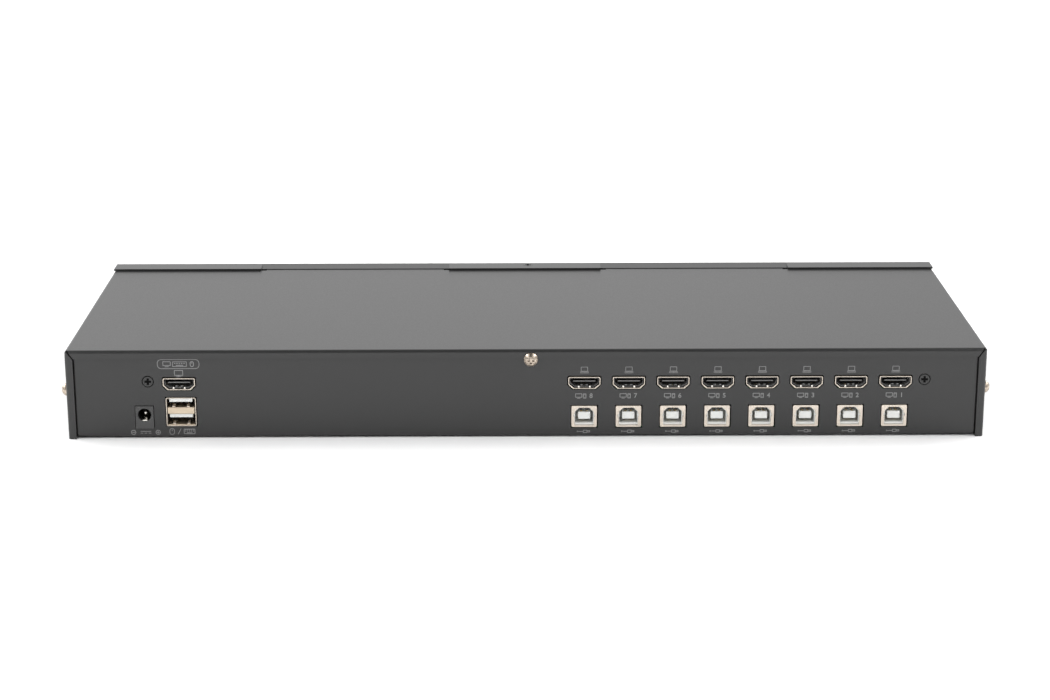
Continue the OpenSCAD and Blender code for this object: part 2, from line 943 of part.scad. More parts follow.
// A point that lies off the flat cable's middle line, square to it.
function ribbon_point(t, off) =
    let(run = ribbon_y[1] - ribbon_y[0], slope = ribbon_hump * PI * sin(360 * t) / run,
        len = sqrt(1 + slope * slope))
    [ribbon_y[0] + run * t - off * slope / len, ribbon_z + ribbon_rise(t) + off / len];

// Flat cable with a slack hump between the two headers, one smooth strip seen end on.
module ribbon_cable() {
    ts = [for (i = [0 : ribbon_steps]) i / ribbon_steps];
    back = [for (i = [ribbon_steps : -1 : 0]) i / ribbon_steps];
    color([0.62, 0.62, 0.64])
        along_x(ribbon_x - ribbon_w / 2, ribbon_x + ribbon_w / 2)
            polygon(concat([for (t = ts) ribbon_point(t, -ribbon_t / 2)],
                           [for (t = back) ribbon_point(t, ribbon_t / 2)]));
}

// ---------- stand-offs, brackets and screws ----------

module pan_standoffs() {
    color([0.70, 0.70, 0.68])
        for (x = post_xs, y = concat(post_ys, [front_post_y]))
            translate([x, y, pan_top])
                difference() {
                    cylinder(r = post_r, h = pan_post_top - pan_top);
                    translate([0, 0, 0.4])
                        cylinder(r = m3_hole_r, h = pan_post_top);
                }
}

// Hexagonal posts between the boards, each with a stud below and a tapped hole on top.
module board_standoffs() {
    color([0.78, 0.68, 0.42])
        for (x = post_xs, y = post_ys)
            translate([x, y, main_top])
                difference() {
                    union() {
                        cylinder(r = post_r * 1.12, h = hdmi_top - board_t - main_top, $fn = 6);
                        translate([0, 0, -board_t - stud_len])
                            cylinder(r = m3_shank_r, h = board_t + stud_len + eps);
                    }
                    translate([0, 0, hdmi_top - board_t - main_top - 7])
                        cylinder(r = m3_hole_r, h = 8);
                }
}

module front_standoffs() {
    color([0.70, 0.70, 0.68])
        for (x = front_post_xs, z = front_post_zs)
            difference() {
                rod_y(x, button_board_y, z, post_r, wall_in_y - button_board_y);
                rod_y(x, button_board_y - 1, z, m3_hole_r, 8);
            }
}

// Angle brackets that tie the upper board to the rear panel.
module support_brackets() {
    foot_top = hdmi_top + bracket_t;
    color([0.66, 0.66, 0.64])
        for (x = black_xs)
            translate([x, 0, 0])
                difference() {
                    union() {
                        span([-bracket_w / 2, bracket_w / 2], [bracket_y, bracket_y + bracket_t],
                             [hdmi_top, black_z + 5]);
                        span([-bracket_w / 2, bracket_w / 2], [bracket_y, post_ys[0] + 4],
                             [hdmi_top, foot_top]);
                    }
                    rod_y(0, bracket_y - 1, black_z, m3_hole_r, bracket_t + 2);
                    translate([0, post_ys[0], hdmi_top - 1])
                        cylinder(r = m3_clear_r, h = bracket_t + 2);
                }
}

module rear_panel_screws() {
    color([0.08, 0.08, 0.08])
        for (x = black_xs)
            translate([x, panel_y, black_z])
                rotate([90, 0, 0])
                    flat_screw(flat_head_r, flat_head_d, 6);
}

module rear_cover_screw() {
    color([0.80, 0.80, 0.80])
        translate([rear_screw_x, y_rear, rear_screw_z])
            rotate([90, 0, 0])
                pan_screw(case_head_r, case_head_h, 5);
}

module side_cover_screws() {
    color([0.80, 0.80, 0.80])
        both_sides()
            translate([case_w / 2, side_screw_y, side_screw_z])
                rotate([0, 90, 0])
                    pan_screw(side_head_r, side_head_h, side_screw_len);
}

module strip_screw() {
    color([0.08, 0.08, 0.08])
        translate([strip_screw_x, strip_screw_y, strip_z])
            flat_screw(flat_head_r, sheet_t, 4);
}

module board_screws() {
    color([0.80, 0.80, 0.80]) {
        for (x = post_xs, y = post_ys)
            translate([x, y, hdmi_top + (y == post_ys[0] && x != rear_screw_x ? bracket_t : 0)])
                pan_screw(board_head_r, board_head_h, 6);
        for (x = post_xs)
            translate([x, front_post_y, main_top])
                pan_screw(board_head_r, board_head_h, board_t + stud_len);
        for (x = front_post_xs, z = front_post_zs)
            translate([x, button_board_y - board_t, z])
                rotate([90, 0, 0])
                    pan_screw(board_head_r, board_head_h, 6);
    }
}

// Clinch nuts for rack ears, on the inside of the chassis walls.
module rack_nuts() {
    x = chassis_x - sheet_t - nut_h;
    color([0.70, 0.70, 0.68])
        both_sides()
            difference() {
                ear_holes(x, nut_h, nut_r);
                ear_holes(x - 1, nut_h + 2, nut_hole_r);
            }
}

module insulating_film() {
    color([0.85, 0.85, 0.80])
    difference() {
        span([main_x[0], main_x[1]], [main_y[0] + 1, main_y[1]], [pan_top, pan_top + sheet_film_t]);
        for (x = post_xs, y = concat(post_ys, [front_post_y]))
            translate([x, y, pan_top - 1])
                cylinder(r = post_r + 0.4, h = 3);
    }
}

top_cover();
base_chassis();
front_overlay();
button(0);  // button_1
button(1);  // button_2
button(2);  // button_3
button(3);  // button_4
button(4);  // button_5
button(5);  // button_6
button(6);  // button_7
button(7);  // button_8
switch_plunger(0);  // switch_plunger_1
switch_plunger(1);  // switch_plunger_2
switch_plunger(2);  // switch_plunger_3
switch_plunger(3);  // switch_plunger_4
switch_plunger(4);  // switch_plunger_5
switch_plunger(5);  // switch_plunger_6
switch_plunger(6);  // switch_plunger_7
switch_plunger(7);  // switch_plunger_8
switch_housings();
button_board();
port_light_pipes();
power_light_pipe();
port_leds();
power_led();
main_board();
hdmi_board();
hdmi_shells();
hdmi_inserts();
usb_b_shells();
usb_b_inserts();
usb_a_shell();
usb_a_inserts();
dc_jack_housing();
dc_jack_pin();
hdmi_switch_chips();
scaler_chip();
heat_sink();
usb_hub_chips();
controller_chip();
capacitors();
inductors();
crystals();
buzzer();
board_connectors();
ribbon_headers();
ribbon_cable();
pan_standoffs();
board_standoffs();
front_standoffs();
support_brackets();
rear_panel_screws();
rear_cover_screw();
side_cover_screws();
strip_screw();
board_screws();
rack_nuts();
insulating_film();
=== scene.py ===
import math

import bmesh
import bpy
from mathutils import Matrix, Vector


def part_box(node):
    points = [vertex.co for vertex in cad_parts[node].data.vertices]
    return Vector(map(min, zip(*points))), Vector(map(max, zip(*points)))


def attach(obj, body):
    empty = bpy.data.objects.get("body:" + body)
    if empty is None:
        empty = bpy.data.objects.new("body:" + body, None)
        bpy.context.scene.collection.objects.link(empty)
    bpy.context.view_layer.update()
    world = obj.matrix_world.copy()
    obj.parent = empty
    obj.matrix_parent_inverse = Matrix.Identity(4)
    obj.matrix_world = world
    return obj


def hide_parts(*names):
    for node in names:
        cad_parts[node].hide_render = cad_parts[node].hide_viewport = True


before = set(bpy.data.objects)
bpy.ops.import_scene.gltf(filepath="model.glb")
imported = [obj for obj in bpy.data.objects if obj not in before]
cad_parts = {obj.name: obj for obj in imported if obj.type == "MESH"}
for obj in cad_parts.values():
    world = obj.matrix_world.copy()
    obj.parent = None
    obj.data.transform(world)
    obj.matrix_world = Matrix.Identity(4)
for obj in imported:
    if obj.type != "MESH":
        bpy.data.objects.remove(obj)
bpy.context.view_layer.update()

# The visual model of an eight-port KVM switch. The rear socket panel faces -Y, the select
# buttons face +Y. Lengths are metres; MM turns a size in millimetres into metres. Colours are linear.
MM = 0.001
CASE = "case"

# ---------- places taken from the frame ----------


def size_of(node):
    """(lowest corner, highest corner, centre) of a CAD node."""
    low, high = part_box(node)
    return low, high, (low + high) / 2


PANEL_Y, FRONT_Y = (corner.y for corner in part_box("base_chassis"))

USB_B_LOW, USB_B_HIGH, USB_B_MID = size_of("usb_b_shells")
USB_B_W = 12 * MM
PORTS = 8
PORT_1_X = USB_B_HIGH.x - USB_B_W / 2
PORT_PITCH = (USB_B_HIGH.x - USB_B_LOW.x - USB_B_W) / (PORTS - 1)
PORT_XS = [PORT_1_X - i * PORT_PITCH for i in range(PORTS)]

HDMI_LOW, HDMI_HIGH, HDMI_MID = size_of("hdmi_shells")
HDMI_W = 15.1 * MM
CONSOLE_X = HDMI_LOW.x + HDMI_W / 2
HDMI_XS = [*PORT_XS, CONSOLE_X]
USB_A_LOW, USB_A_HIGH, USB_A_MID = size_of("usb_a_shell")
JACK_LOW, JACK_HIGH, JACK_MID = size_of("dc_jack_housing")
PIN_LOW, PIN_HIGH, PIN_MID = size_of("dc_jack_pin")
OVERLAY_LOW, OVERLAY_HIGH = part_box("front_overlay")
BUTTONS = [f"button_{i + 1}" for i in range(PORTS)]

# ---------- materials ----------


def shader_of(name):
    """A new material, its node tree's nodes and links, and its Principled shader."""
    material = bpy.data.materials.new(name)
    material.use_nodes = True
    nodes, links = material.node_tree.nodes, material.node_tree.links
    return material, nodes, links, nodes["Principled BSDF"]


def noise(nodes, links, size_mm, detail=3.0, stretch=(1, 1, 1)):
    """Object-space noise whose features are about size_mm across, stretched per axis."""
    place = nodes.new("ShaderNodeTexCoord")
    mapping = nodes.new("ShaderNodeMapping")
    mapping.inputs["Scale"].default_value = stretch
    texture = nodes.new("ShaderNodeTexNoise")
    texture.inputs["Scale"].default_value = 1000 / size_mm
    texture.inputs["Detail"].default_value = detail
    links.new(place.outputs["Object"], mapping.inputs["Vector"])
    links.new(mapping.outputs["Vector"], texture.inputs["Vector"])
    return texture.outputs["Fac"]


def remapped(nodes, links, value, span, results, interpolation="LINEAR"):
    """A value that runs over a span, turned into one that runs from the first result to the second."""
    ranged = nodes.new("ShaderNodeMapRange")
    ranged.interpolation_type = interpolation
    ranged.inputs["From Min"].default_value, ranged.inputs["From Max"].default_value = span
    ranged.inputs["To Min"].default_value, ranged.inputs["To Max"].default_value = results
    links.new(value, ranged.inputs["Value"])
    return ranged.outputs["Result"]


NOISE_MIDDLE = (0.3, 0.7)


def spread(nodes, links, factor, low, high):
    """The middle range of a noise turned into values from low to high."""
    return remapped(nodes, links, factor, NOISE_MIDDLE, (low, high))


def surface(name, color, roughness, metallic=0.0, grain_mm=0.5, grain_depth_mm=0.01, drift=0.08,
            drift_mm=40, rough_drift=0.05, stretch=(1, 1, 1), **sockets):
    """A Principled material: colour and roughness that drift slowly, and a fine grain as bump."""
    material, nodes, links, shader = shader_of(name)
    slow = noise(nodes, links, drift_mm, 2.0)
    ramp = nodes.new("ShaderNodeMix")
    ramp.data_type = "RGBA"
    ramp.inputs["A"].default_value = [c * (1 - drift) for c in color] + [1]
    ramp.inputs["B"].default_value = [min(1, c * (1 + drift)) for c in color] + [1]
    links.new(slow, ramp.inputs["Factor"])
    links.new(ramp.outputs["Result"], shader.inputs["Base Color"])
    fine = noise(nodes, links, grain_mm, 3.0, stretch)
    links.new(spread(nodes, links, fine, roughness - rough_drift, roughness + rough_drift),
              shader.inputs["Roughness"])
    bump = nodes.new("ShaderNodeBump")
    bump.inputs["Strength"].default_value = 0.6
    bump.inputs["Distance"].default_value = grain_depth_mm * MM
    links.new(fine, bump.inputs["Height"])
    links.new(bump.outputs["Normal"], shader.inputs["Normal"])
    shader.inputs["Metallic"].default_value = metallic
    for socket, value in sockets.items():
        shader.inputs[socket.replace("_", " ")].default_value = value
    return material


def grey(value):
    """A neutral grey of that linear value."""
    return (value, value, value)


PAINT = surface("powder_coat", grey(0.019), 0.32, grain_mm=0.4, grain_depth_mm=0.006, drift=0.06,
                drift_mm=60, rough_drift=0.04)
PRINT = surface("light_print", grey(0.21), 0.5, grain_mm=0.15, grain_depth_mm=0.003, drift=0.12, drift_mm=1.5)
SOCKET_STEEL = surface("nickel_steel", (0.66, 0.59, 0.51), 0.36, metallic=0.9, grain_mm=0.25,
                       grain_depth_mm=0.004, drift=0.1, drift_mm=3)
BRUSHED_NICKEL = surface("brushed_nickel", (0.60, 0.50, 0.38), 0.4, metallic=0.9, grain_mm=0.5,
                         grain_depth_mm=0.012, drift=0.12, drift_mm=3, rough_drift=0.1,
                         stretch=(0.05, 1, 1.6))
CASE_SCREW_STEEL = surface("case_screw_steel", (0.46, 0.39, 0.32), 0.3, metallic=1.0, grain_mm=0.6,
                           grain_depth_mm=0.05, drift=0.9, drift_mm=1.1, rough_drift=0.08)
BRIGHT_STEEL = surface("bright_steel", (0.80, 0.77, 0.72), 0.25, metallic=1.0, grain_mm=0.3,
                       grain_depth_mm=0.003, drift=0.06, drift_mm=2)
ZINC_STEEL = surface("zinc_plate", (0.62, 0.62, 0.60), 0.42, metallic=1.0, grain_mm=0.4,
                     grain_depth_mm=0.006, drift=0.12, drift_mm=4)
BRASS = surface("turned_brass", (0.72, 0.55, 0.28), 0.3, metallic=1.0, grain_mm=0.3, grain_depth_mm=0.004,
                drift=0.08, drift_mm=3, stretch=(1, 1, 6))
BLACK_STEEL = surface("black_oxide", grey(0.045), 0.3, metallic=0.6, grain_mm=0.3, grain_depth_mm=0.006,
                      drift=0.15, drift_mm=2)
# Near-black mirror metal that paints the shade at the bottom of the screws' crossed recesses.
RECESS_PAINTED_SHADE = surface("recess_painted_shade", grey(0.012), 0.7, metallic=1.0, grain_mm=0.3,
                       grain_depth_mm=0.004, drift=0.1, drift_mm=1.5)
BLACK_PLASTIC = surface("black_moulding", grey(0.010), 0.45, grain_mm=0.2, grain_depth_mm=0.006, drift=0.1,
                        drift_mm=5)
JACK_PLASTIC = surface("jack_moulding", grey(0.055), 0.6, grain_mm=0.25, grain_depth_mm=0.01, drift=0.1,
                       drift_mm=4)
BUTTON_PLASTIC = surface("button_moulding", grey(0.050), 0.42, grain_mm=0.25, grain_depth_mm=0.008,
                         drift=0.06, drift_mm=6)
TONGUE_GREY = surface("tongue_edge", grey(0.17), 0.4, grain_mm=0.2, grain_depth_mm=0.004, drift=0.1,
                      drift_mm=2)
WHITE_PLASTIC = surface("white_moulding", (0.74, 0.75, 0.73), 0.38, grain_mm=0.3, grain_depth_mm=0.004,
                        drift=0.04, drift_mm=4)
CONTACT_GOLD = surface("contact_gold", (0.86, 0.64, 0.30), 0.28, metallic=1.0, grain_mm=0.2,
                       grain_depth_mm=0.003, drift=0.08, drift_mm=1)
OVERLAY_FILM = surface("overlay_film", grey(0.012), 0.3, grain_mm=0.3, grain_depth_mm=0.004, drift=0.08,
                       drift_mm=30)
CHIP_EPOXY = surface("chip_epoxy", grey(0.018), 0.6, grain_mm=0.12, grain_depth_mm=0.006, drift=0.12,
                     drift_mm=6)
ANODISED = surface("black_anodised", grey(0.03), 0.38, metallic=0.7, grain_mm=0.3, grain_depth_mm=0.006,
                   drift=0.1, drift_mm=6, stretch=(1, 0.1, 1))
CAN_SLEEVE = surface("can_sleeve", (0.012, 0.016, 0.05), 0.3, grain_mm=0.4, grain_depth_mm=0.004, drift=0.1,
                     drift_mm=4)
FERRITE = surface("ferrite", grey(0.04), 0.7, grain_mm=0.3, grain_depth_mm=0.02, drift=0.15, drift_mm=3)
LED_RESIN = surface("led_resin", (0.78, 0.72, 0.40), 0.25, grain_mm=0.3, grain_depth_mm=0.003, drift=0.06,
                    drift_mm=1)
CLEAR_ACRYLIC = surface("clear_acrylic", (0.90, 0.94, 0.93), 0.14, grain_mm=0.5, grain_depth_mm=0.002,
                        drift=0.03, drift_mm=2, rough_drift=0.03, Transmission_Weight=0.85, IOR=1.49)
CLEAR_FILM = surface("clear_film", (0.85, 0.83, 0.74), 0.3, grain_mm=1.0, grain_depth_mm=0.01, drift=0.05,
                     drift_mm=20, Transmission_Weight=0.6, IOR=1.5)


TRACK_CELL = 14 * MM


def board_laminate(name, turn=0.0):
    """Green laminate with lighter tracks; turn stands the track pattern upright for an upright board."""
    material, nodes, links, shader = shader_of(name)
    place = nodes.new("ShaderNodeTexCoord")
    mapping = nodes.new("ShaderNodeMapping")
    mapping.inputs["Rotation"].default_value = (turn, 0, 0)
    links.new(place.outputs["Object"], mapping.inputs["Vector"])
    tracks = nodes.new("ShaderNodeTexBrick")
    for socket, value in {"Scale": 1 / TRACK_CELL, "Mortar Size": 0.03, "Brick Width": 0.9,
                          "Row Height": 0.12}.items():
        tracks.inputs[socket].default_value = value
    tracks.inputs["Color1"].default_value = (0.006, 0.060, 0.022, 1)
    tracks.inputs["Color2"].default_value = (0.005, 0.045, 0.017, 1)
    tracks.inputs["Mortar"].default_value = (0.012, 0.105, 0.040, 1)
    links.new(mapping.outputs["Vector"], tracks.inputs["Vector"])
    links.new(tracks.outputs["Color"], shader.inputs["Base Color"])
    weave = noise(nodes, links, 0.4, 2.0)
    links.new(spread(nodes, links, weave, 0.26, 0.36), shader.inputs["Roughness"])
    bump = nodes.new("ShaderNodeBump")
    bump.inputs["Strength"].default_value = 0.4
    bump.inputs["Distance"].default_value = 0.02 * MM
    links.new(tracks.outputs["Fac"], bump.inputs["Height"])
    links.new(bump.outputs["Normal"], shader.inputs["Normal"])
    return material


WAVE_PERIOD = 2 * math.pi / 20  # of a wave texture whose scale is 1


def striped_cable(name, pitch_mm):
    """Grey ribbon whose conductors show as ridges along Y, with painted shade in the grooves and painted
    highlight on the crests.
    """
    material, nodes, links, shader = shader_of(name)
    place = nodes.new("ShaderNodeTexCoord")
    waves = nodes.new("ShaderNodeTexWave")
    waves.bands_direction = "X"
    waves.inputs["Scale"].default_value = WAVE_PERIOD / (pitch_mm * MM)
    links.new(place.outputs["Object"], waves.inputs["Vector"])
    # Painted shade and highlight: the grey darkens in the grooves and lightens on the crests, in step with
    # the bump.
    ridge_shading = nodes.new("ShaderNodeMix")
    ridge_shading.data_type = "RGBA"
    ridge_shading.inputs["A"].default_value = (0.16, 0.16, 0.17, 1)
    ridge_shading.inputs["B"].default_value = (0.40, 0.40, 0.41, 1)
    links.new(waves.outputs["Fac"], ridge_shading.inputs["Factor"])
    links.new(ridge_shading.outputs["Result"], shader.inputs["Base Color"])
    links.new(spread(nodes, links, noise(nodes, links, 3), 0.42, 0.52), shader.inputs["Roughness"])
    bump = nodes.new("ShaderNodeBump")
    bump.inputs["Distance"].default_value = 0.15 * MM
    links.new(waves.outputs["Fac"], bump.inputs["Height"])
    links.new(bump.outputs["Normal"], shader.inputs["Normal"])
    return material


LAMINATE = board_laminate("board_laminate")
UPRIGHT_LAMINATE = board_laminate("upright_laminate", math.pi / 2)
RIBBON = striped_cable("ribbon_cable", 1.27)

# ---------- outlines ----------


def rounded(corners, radii, steps=5):
    """A closed outline through the corners, each rounded by its radius. Corners run anticlockwise."""
    count = len(corners)
    if not isinstance(radii, (list, tuple)):
        radii = [radii] * count
    points = []
    for i, corner in enumerate(corners):
        here = Vector(corner)
        back = (Vector(corners[i - 1]) - here).normalized()
        ahead = (Vector(corners[(i + 1) % count]) - here).normalized()
        if radii[i] <= 0:
            points.append(tuple(here))
            continue
        half = back.angle(ahead) / 2
        reach = radii[i] / math.tan(half)
        centre = here + (back + ahead).normalized() * radii[i] / math.sin(half)
        start = here + back * reach - centre
        turn = math.pi - 2 * half
        sign = 1 if back.x * ahead.y - back.y * ahead.x < 0 else -1
        for k in range(steps + 1):
            a = sign * turn * k / steps
            points.append((centre.x + start.x * math.cos(a) - start.y * math.sin(a),
                           centre.y + start.x * math.sin(a) + start.y * math.cos(a)))
    return points


def rect(x0, x1, z0, z1, radius=0.0, steps=5):
    """A rectangle between two pairs of edges."""
    return rounded([(x0, z0), (x1, z0), (x1, z1), (x0, z1)], radius, steps)


def centred(width, height, radius=0.0, at=(0, 0), steps=5):
    """A rectangle of that size around a point."""
    x, z = at
    return rect(x - width / 2, x + width / 2, z - height / 2, z + height / 2, radius, steps)


def disc(x, z, radius, steps=32):
    """A circle as a polygon."""
    return [(x + radius * math.cos(2 * math.pi * k / steps), z + radius * math.sin(2 * math.pi * k / steps))
            for k in range(steps)]


def hdmi_mouth(grow, radius):
    """The HDMI outline: straight sides above, sloping sides below."""
    half = HDMI_W / 2 + grow
    top = (HDMI_HIGH.z - HDMI_LOW.z) / 2 + grow
    slope = 2.2 * MM
    knee = -0.8 * MM - grow * 0.4
    corners = [(-half + slope, -top), (half - slope, -top), (half, knee), (half, top), (-half, top),
               (-half, knee)]
    return rounded(corners, radius)


USB_B_MOUTH_HALF, USB_B_MOUTH_TOP = 4.4 * MM, 4.15 * MM


def usb_b_mouth(grow, radius, notched=False):
    """The USB-B outline: square below, sloping corners above, a spring window each side if notched."""
    half, top, slope = USB_B_MOUTH_HALF + grow, USB_B_MOUTH_TOP + grow, 1.9 * MM
    corners = [(-half, -top), (half, -top), (half, top - slope), (half - slope, top), (-half + slope, top),
               (-half, top - slope)]
    radii = [radius] * len(corners)
    if notched:
        deep, low, high = half + 0.6 * MM, 0.1 * MM, 1.0 * MM
        corners[2:2] = [(half, low), (deep, low), (deep, high), (half, high)]
        corners += [(-half, high), (-deep, high), (-deep, low), (-half, low)]
        window_radii = [0.05 * MM] * 4
        radii[2:2] = window_radii
        radii += window_radii
    return rounded(corners, radii)


# ---------- solids ----------


def area(outline):
    """The signed area of an outline: above zero when it runs anticlockwise."""
    return sum(a[0] * b[1] - b[0] * a[1] for a, b in zip(outline, outline[1:] + outline[:1])) / 2


SAME_POINT = 0.0001 * MM
SHARPEST_CORNER = 0.3


def grown(outline, distance):
    """An anticlockwise outline moved outwards by a distance, corners kept sharp."""
    if not distance:
        return outline
    points = [Vector(p) for p in outline]
    points = [p for i, p in enumerate(points) if (p - points[i - 1]).length > SAME_POINT]
    moved_points = []
    for i, here in enumerate(points):
        into = (here - points[i - 1]).normalized()
        away = (points[(i + 1) % len(points)] - here).normalized()
        across = Vector((into.y + away.y, -into.x - away.x)).normalized()
        reach = distance / max(SHARPEST_CORNER, across.x * into.y - across.y * into.x)
        moved_points.append(tuple(here + across * reach))
    return moved_points


# Where a flat drawing's two axes and its thickness go: (first, second, thickness).
PLANES = {"xz": ((1, 0, 0), (0, 0, 1), (0, -1, 0)), "yz": ((0, 1, 0), (0, 0, 1), (1, 0, 0)),
          "xy": ((1, 0, 0), (0, 1, 0), (0, 0, 1))}


def slab(shapes, low, high, plane="xz", bevel=0.0, steps=2):
    """A mesh between two planes. Each shape is [outline, hole, hole, ...]; edges get a round bevel."""
    curve = bpy.data.curves.new("slab", "CURVE")
    curve.dimensions = "2D"
    curve.fill_mode = "BOTH"
    curve.extrude = (high - low) / 2 - bevel
    curve.bevel_depth = bevel
    curve.bevel_resolution = steps
    for shape in shapes:
        for index, outline in enumerate(shape):
            points = outline if area(outline) > 0 else outline[::-1]
            points = grown(points, -bevel) if index == 0 else grown(points, bevel)[::-1]
            spline = curve.splines.new("POLY")
            spline.points.add(len(points) - 1)
            for point, (u, v) in zip(spline.points, points):
                point.co = (u, v, 0, 1)
            spline.use_cyclic_u = True
    holder = bpy.data.objects.new("slab", curve)
    bpy.context.scene.collection.objects.link(holder)
    bpy.context.view_layer.update()
    mesh = bpy.data.meshes.new_from_object(holder.evaluated_get(bpy.context.evaluated_depsgraph_get()))
    bpy.data.objects.remove(holder)
    bpy.data.curves.remove(curve)
    first, second, through = (Vector(v) for v in PLANES[plane])
    basis = Matrix((first, second, through)).transposed().to_4x4()
    middle = through * (low + high) / 2
    if plane == "xz":
        middle = Vector((0, (low + high) / 2, 0))
    mesh.transform(Matrix.Translation(middle) @ basis)
    return mesh


def merged(meshes):
    """One mesh made of several, with touching points of each joined. The parts are used up."""
    bm = bmesh.new()
    for mesh in meshes:
        part = bmesh.new()
        part.from_mesh(mesh)
        bmesh.ops.remove_doubles(part, verts=part.verts, dist=0.0005 * MM)
        bmesh.ops.recalc_face_normals(part, faces=part.faces)
        clean = bpy.data.meshes.new("part")
        part.to_mesh(clean)
        part.free()
        bm.from_mesh(clean)
        bpy.data.meshes.remove(clean)
    whole = bpy.data.meshes.new("whole")
    bm.to_mesh(whole)
    bm.free()
    return whole


def moved(mesh, x=0.0, y=0.0, z=0.0):
    """A copy of a mesh, moved."""
    copy = mesh.copy()
    copy.transform(Matrix.Translation((x, y, z)))
    return copy


def copies(meshes, xs, z):
    """Copies of meshes at each place along X, at height z."""
    return [moved(mesh, x, 0, z) for x in xs for mesh in meshes]


def tidy_shading(obj, angle=35):
    """Smooth shading with sharp edges over that angle, and flat faces that stay flat."""
    obj.data.shade_smooth()
    obj.data.set_sharp_from_angle(angle=math.radians(angle))
    weighted = obj.modifiers.new("weighted_normals", "WEIGHTED_NORMAL")
    weighted.keep_sharp = True


def piece(name, meshes, material, body=CASE, replaces=()):
    """A piece of the object: meshes joined, shaded, painted, riding on a CAD body."""
    mesh = merged(meshes)
    mesh.name = name
    mesh.materials.append(material)
    obj = bpy.data.objects.new(name, mesh)
    bpy.context.scene.collection.objects.link(obj)
    tidy_shading(obj)
    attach(obj, body)
    if replaces:
        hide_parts(*replaces)
    return obj


# ---------- sockets ----------


def hdmi_sockets():
    """Nine sockets, each a shell with a lining, a tongue with nine contacts, and springs."""
    front, back = HDMI_LOW.y, HDMI_HIGH.y
    z = HDMI_MID.z
    wall = 0.42 * MM
    shell = slab([[hdmi_mouth(0, 0.8 * MM), hdmi_mouth(-wall, 0.45 * MM)]], front, back, bevel=0.13 * MM,
                 steps=3)
    piece("hdmi_socket_shells", copies([shell], HDMI_XS, z), SOCKET_STEEL,
          replaces=["hdmi_shells"])
    lined = hdmi_mouth(-wall, 0.5 * MM)
    lining = slab([[lined, hdmi_mouth(-wall - 0.12 * MM, 0.4 * MM)]], front + 1.1 * MM, back - 2 * MM)
    rear = slab([[lined]], back - 5 * MM, back - 1.5 * MM)
    tongue_z = 0.55 * MM
    tongue = slab([[centred(10.6 * MM, 0.8 * MM, 0.15 * MM, (0, tongue_z))]], front + 1.2 * MM,
                  back - 3 * MM, bevel=0.12 * MM)
    piece("hdmi_socket_cores", copies((lining, rear, tongue), HDMI_XS, z),
          BLACK_PLASTIC, replaces=["hdmi_inserts"])
    nose = slab([[centred(10.3 * MM, 0.42 * MM, 0.12 * MM, (0, tongue_z + 0.1 * MM))]], front + 1.05 * MM,
                front + 1.6 * MM, bevel=0.08 * MM)
    lip = slab([[hdmi_mouth(-wall - 0.38 * MM, 0.4 * MM), hdmi_mouth(-wall - 0.5 * MM, 0.35 * MM)]],
               front + 1.0 * MM, back - 2 * MM)
    piece("hdmi_tongue_edges", copies((nose, lip), HDMI_XS, z), TONGUE_GREY)
    contact = slab([[centred(0.28 * MM, 0.05 * MM, 0, (0, tongue_z - 0.42 * MM))]], front + 1.9 * MM,
                   back - 5 * MM)
    rows = [moved(contact, k * MM) for k in range(-4, 5)]
    piece("hdmi_contacts", copies(rows, HDMI_XS, z), CONTACT_GOLD)
    floor_z = HDMI_LOW.z - z + wall
    spring_xs = (-2.6 * MM, 2.6 * MM)
    springs = [leaf(dx, front + 0.9 * MM, 4.2 * MM, floor_z, 0.6 * MM, 0.75 * MM) for dx in spring_xs]
    nub = [(-0.45 * MM, floor_z - 0.05 * MM), (0.45 * MM, floor_z - 0.05 * MM),
           (0.3 * MM, floor_z + 1.0 * MM), (-0.3 * MM, floor_z + 1.0 * MM)]
    bump = slab([[rounded(nub, 0.15 * MM)]], front + 0.5 * MM, front + 1.1 * MM, bevel=0.08 * MM)
    springs += [moved(bump, dx) for dx in spring_xs]
    catches = [slab([[centred(1.1 * MM, 0.4 * MM, 0.15 * MM, (dx * MM, floor_z + 1.25 * MM))]],
                    front + 1.0 * MM, front + 1.5 * MM, bevel=0.06 * MM) for dx in (-1.3, 1.2)]
    piece("hdmi_springs", copies(springs, HDMI_XS, z), BRIGHT_STEEL)
    piece("hdmi_catches", copies(catches, HDMI_XS, z), TONGUE_GREY)


def leaf(x, y, length, z, rise, width, thick=0.12 * MM):
    """A bowed spring leaf along Y that stands on height z and rises in its middle."""
    steps = 10
    bottom = [(y + length * k / steps, z + rise * math.sin(math.pi * k / steps) ** 2)
              for k in range(steps + 1)]
    top = [(along, height + thick) for along, height in bottom]
    return slab([[bottom + top[::-1]]], x - width / 2, x + width / 2, plane="yz")


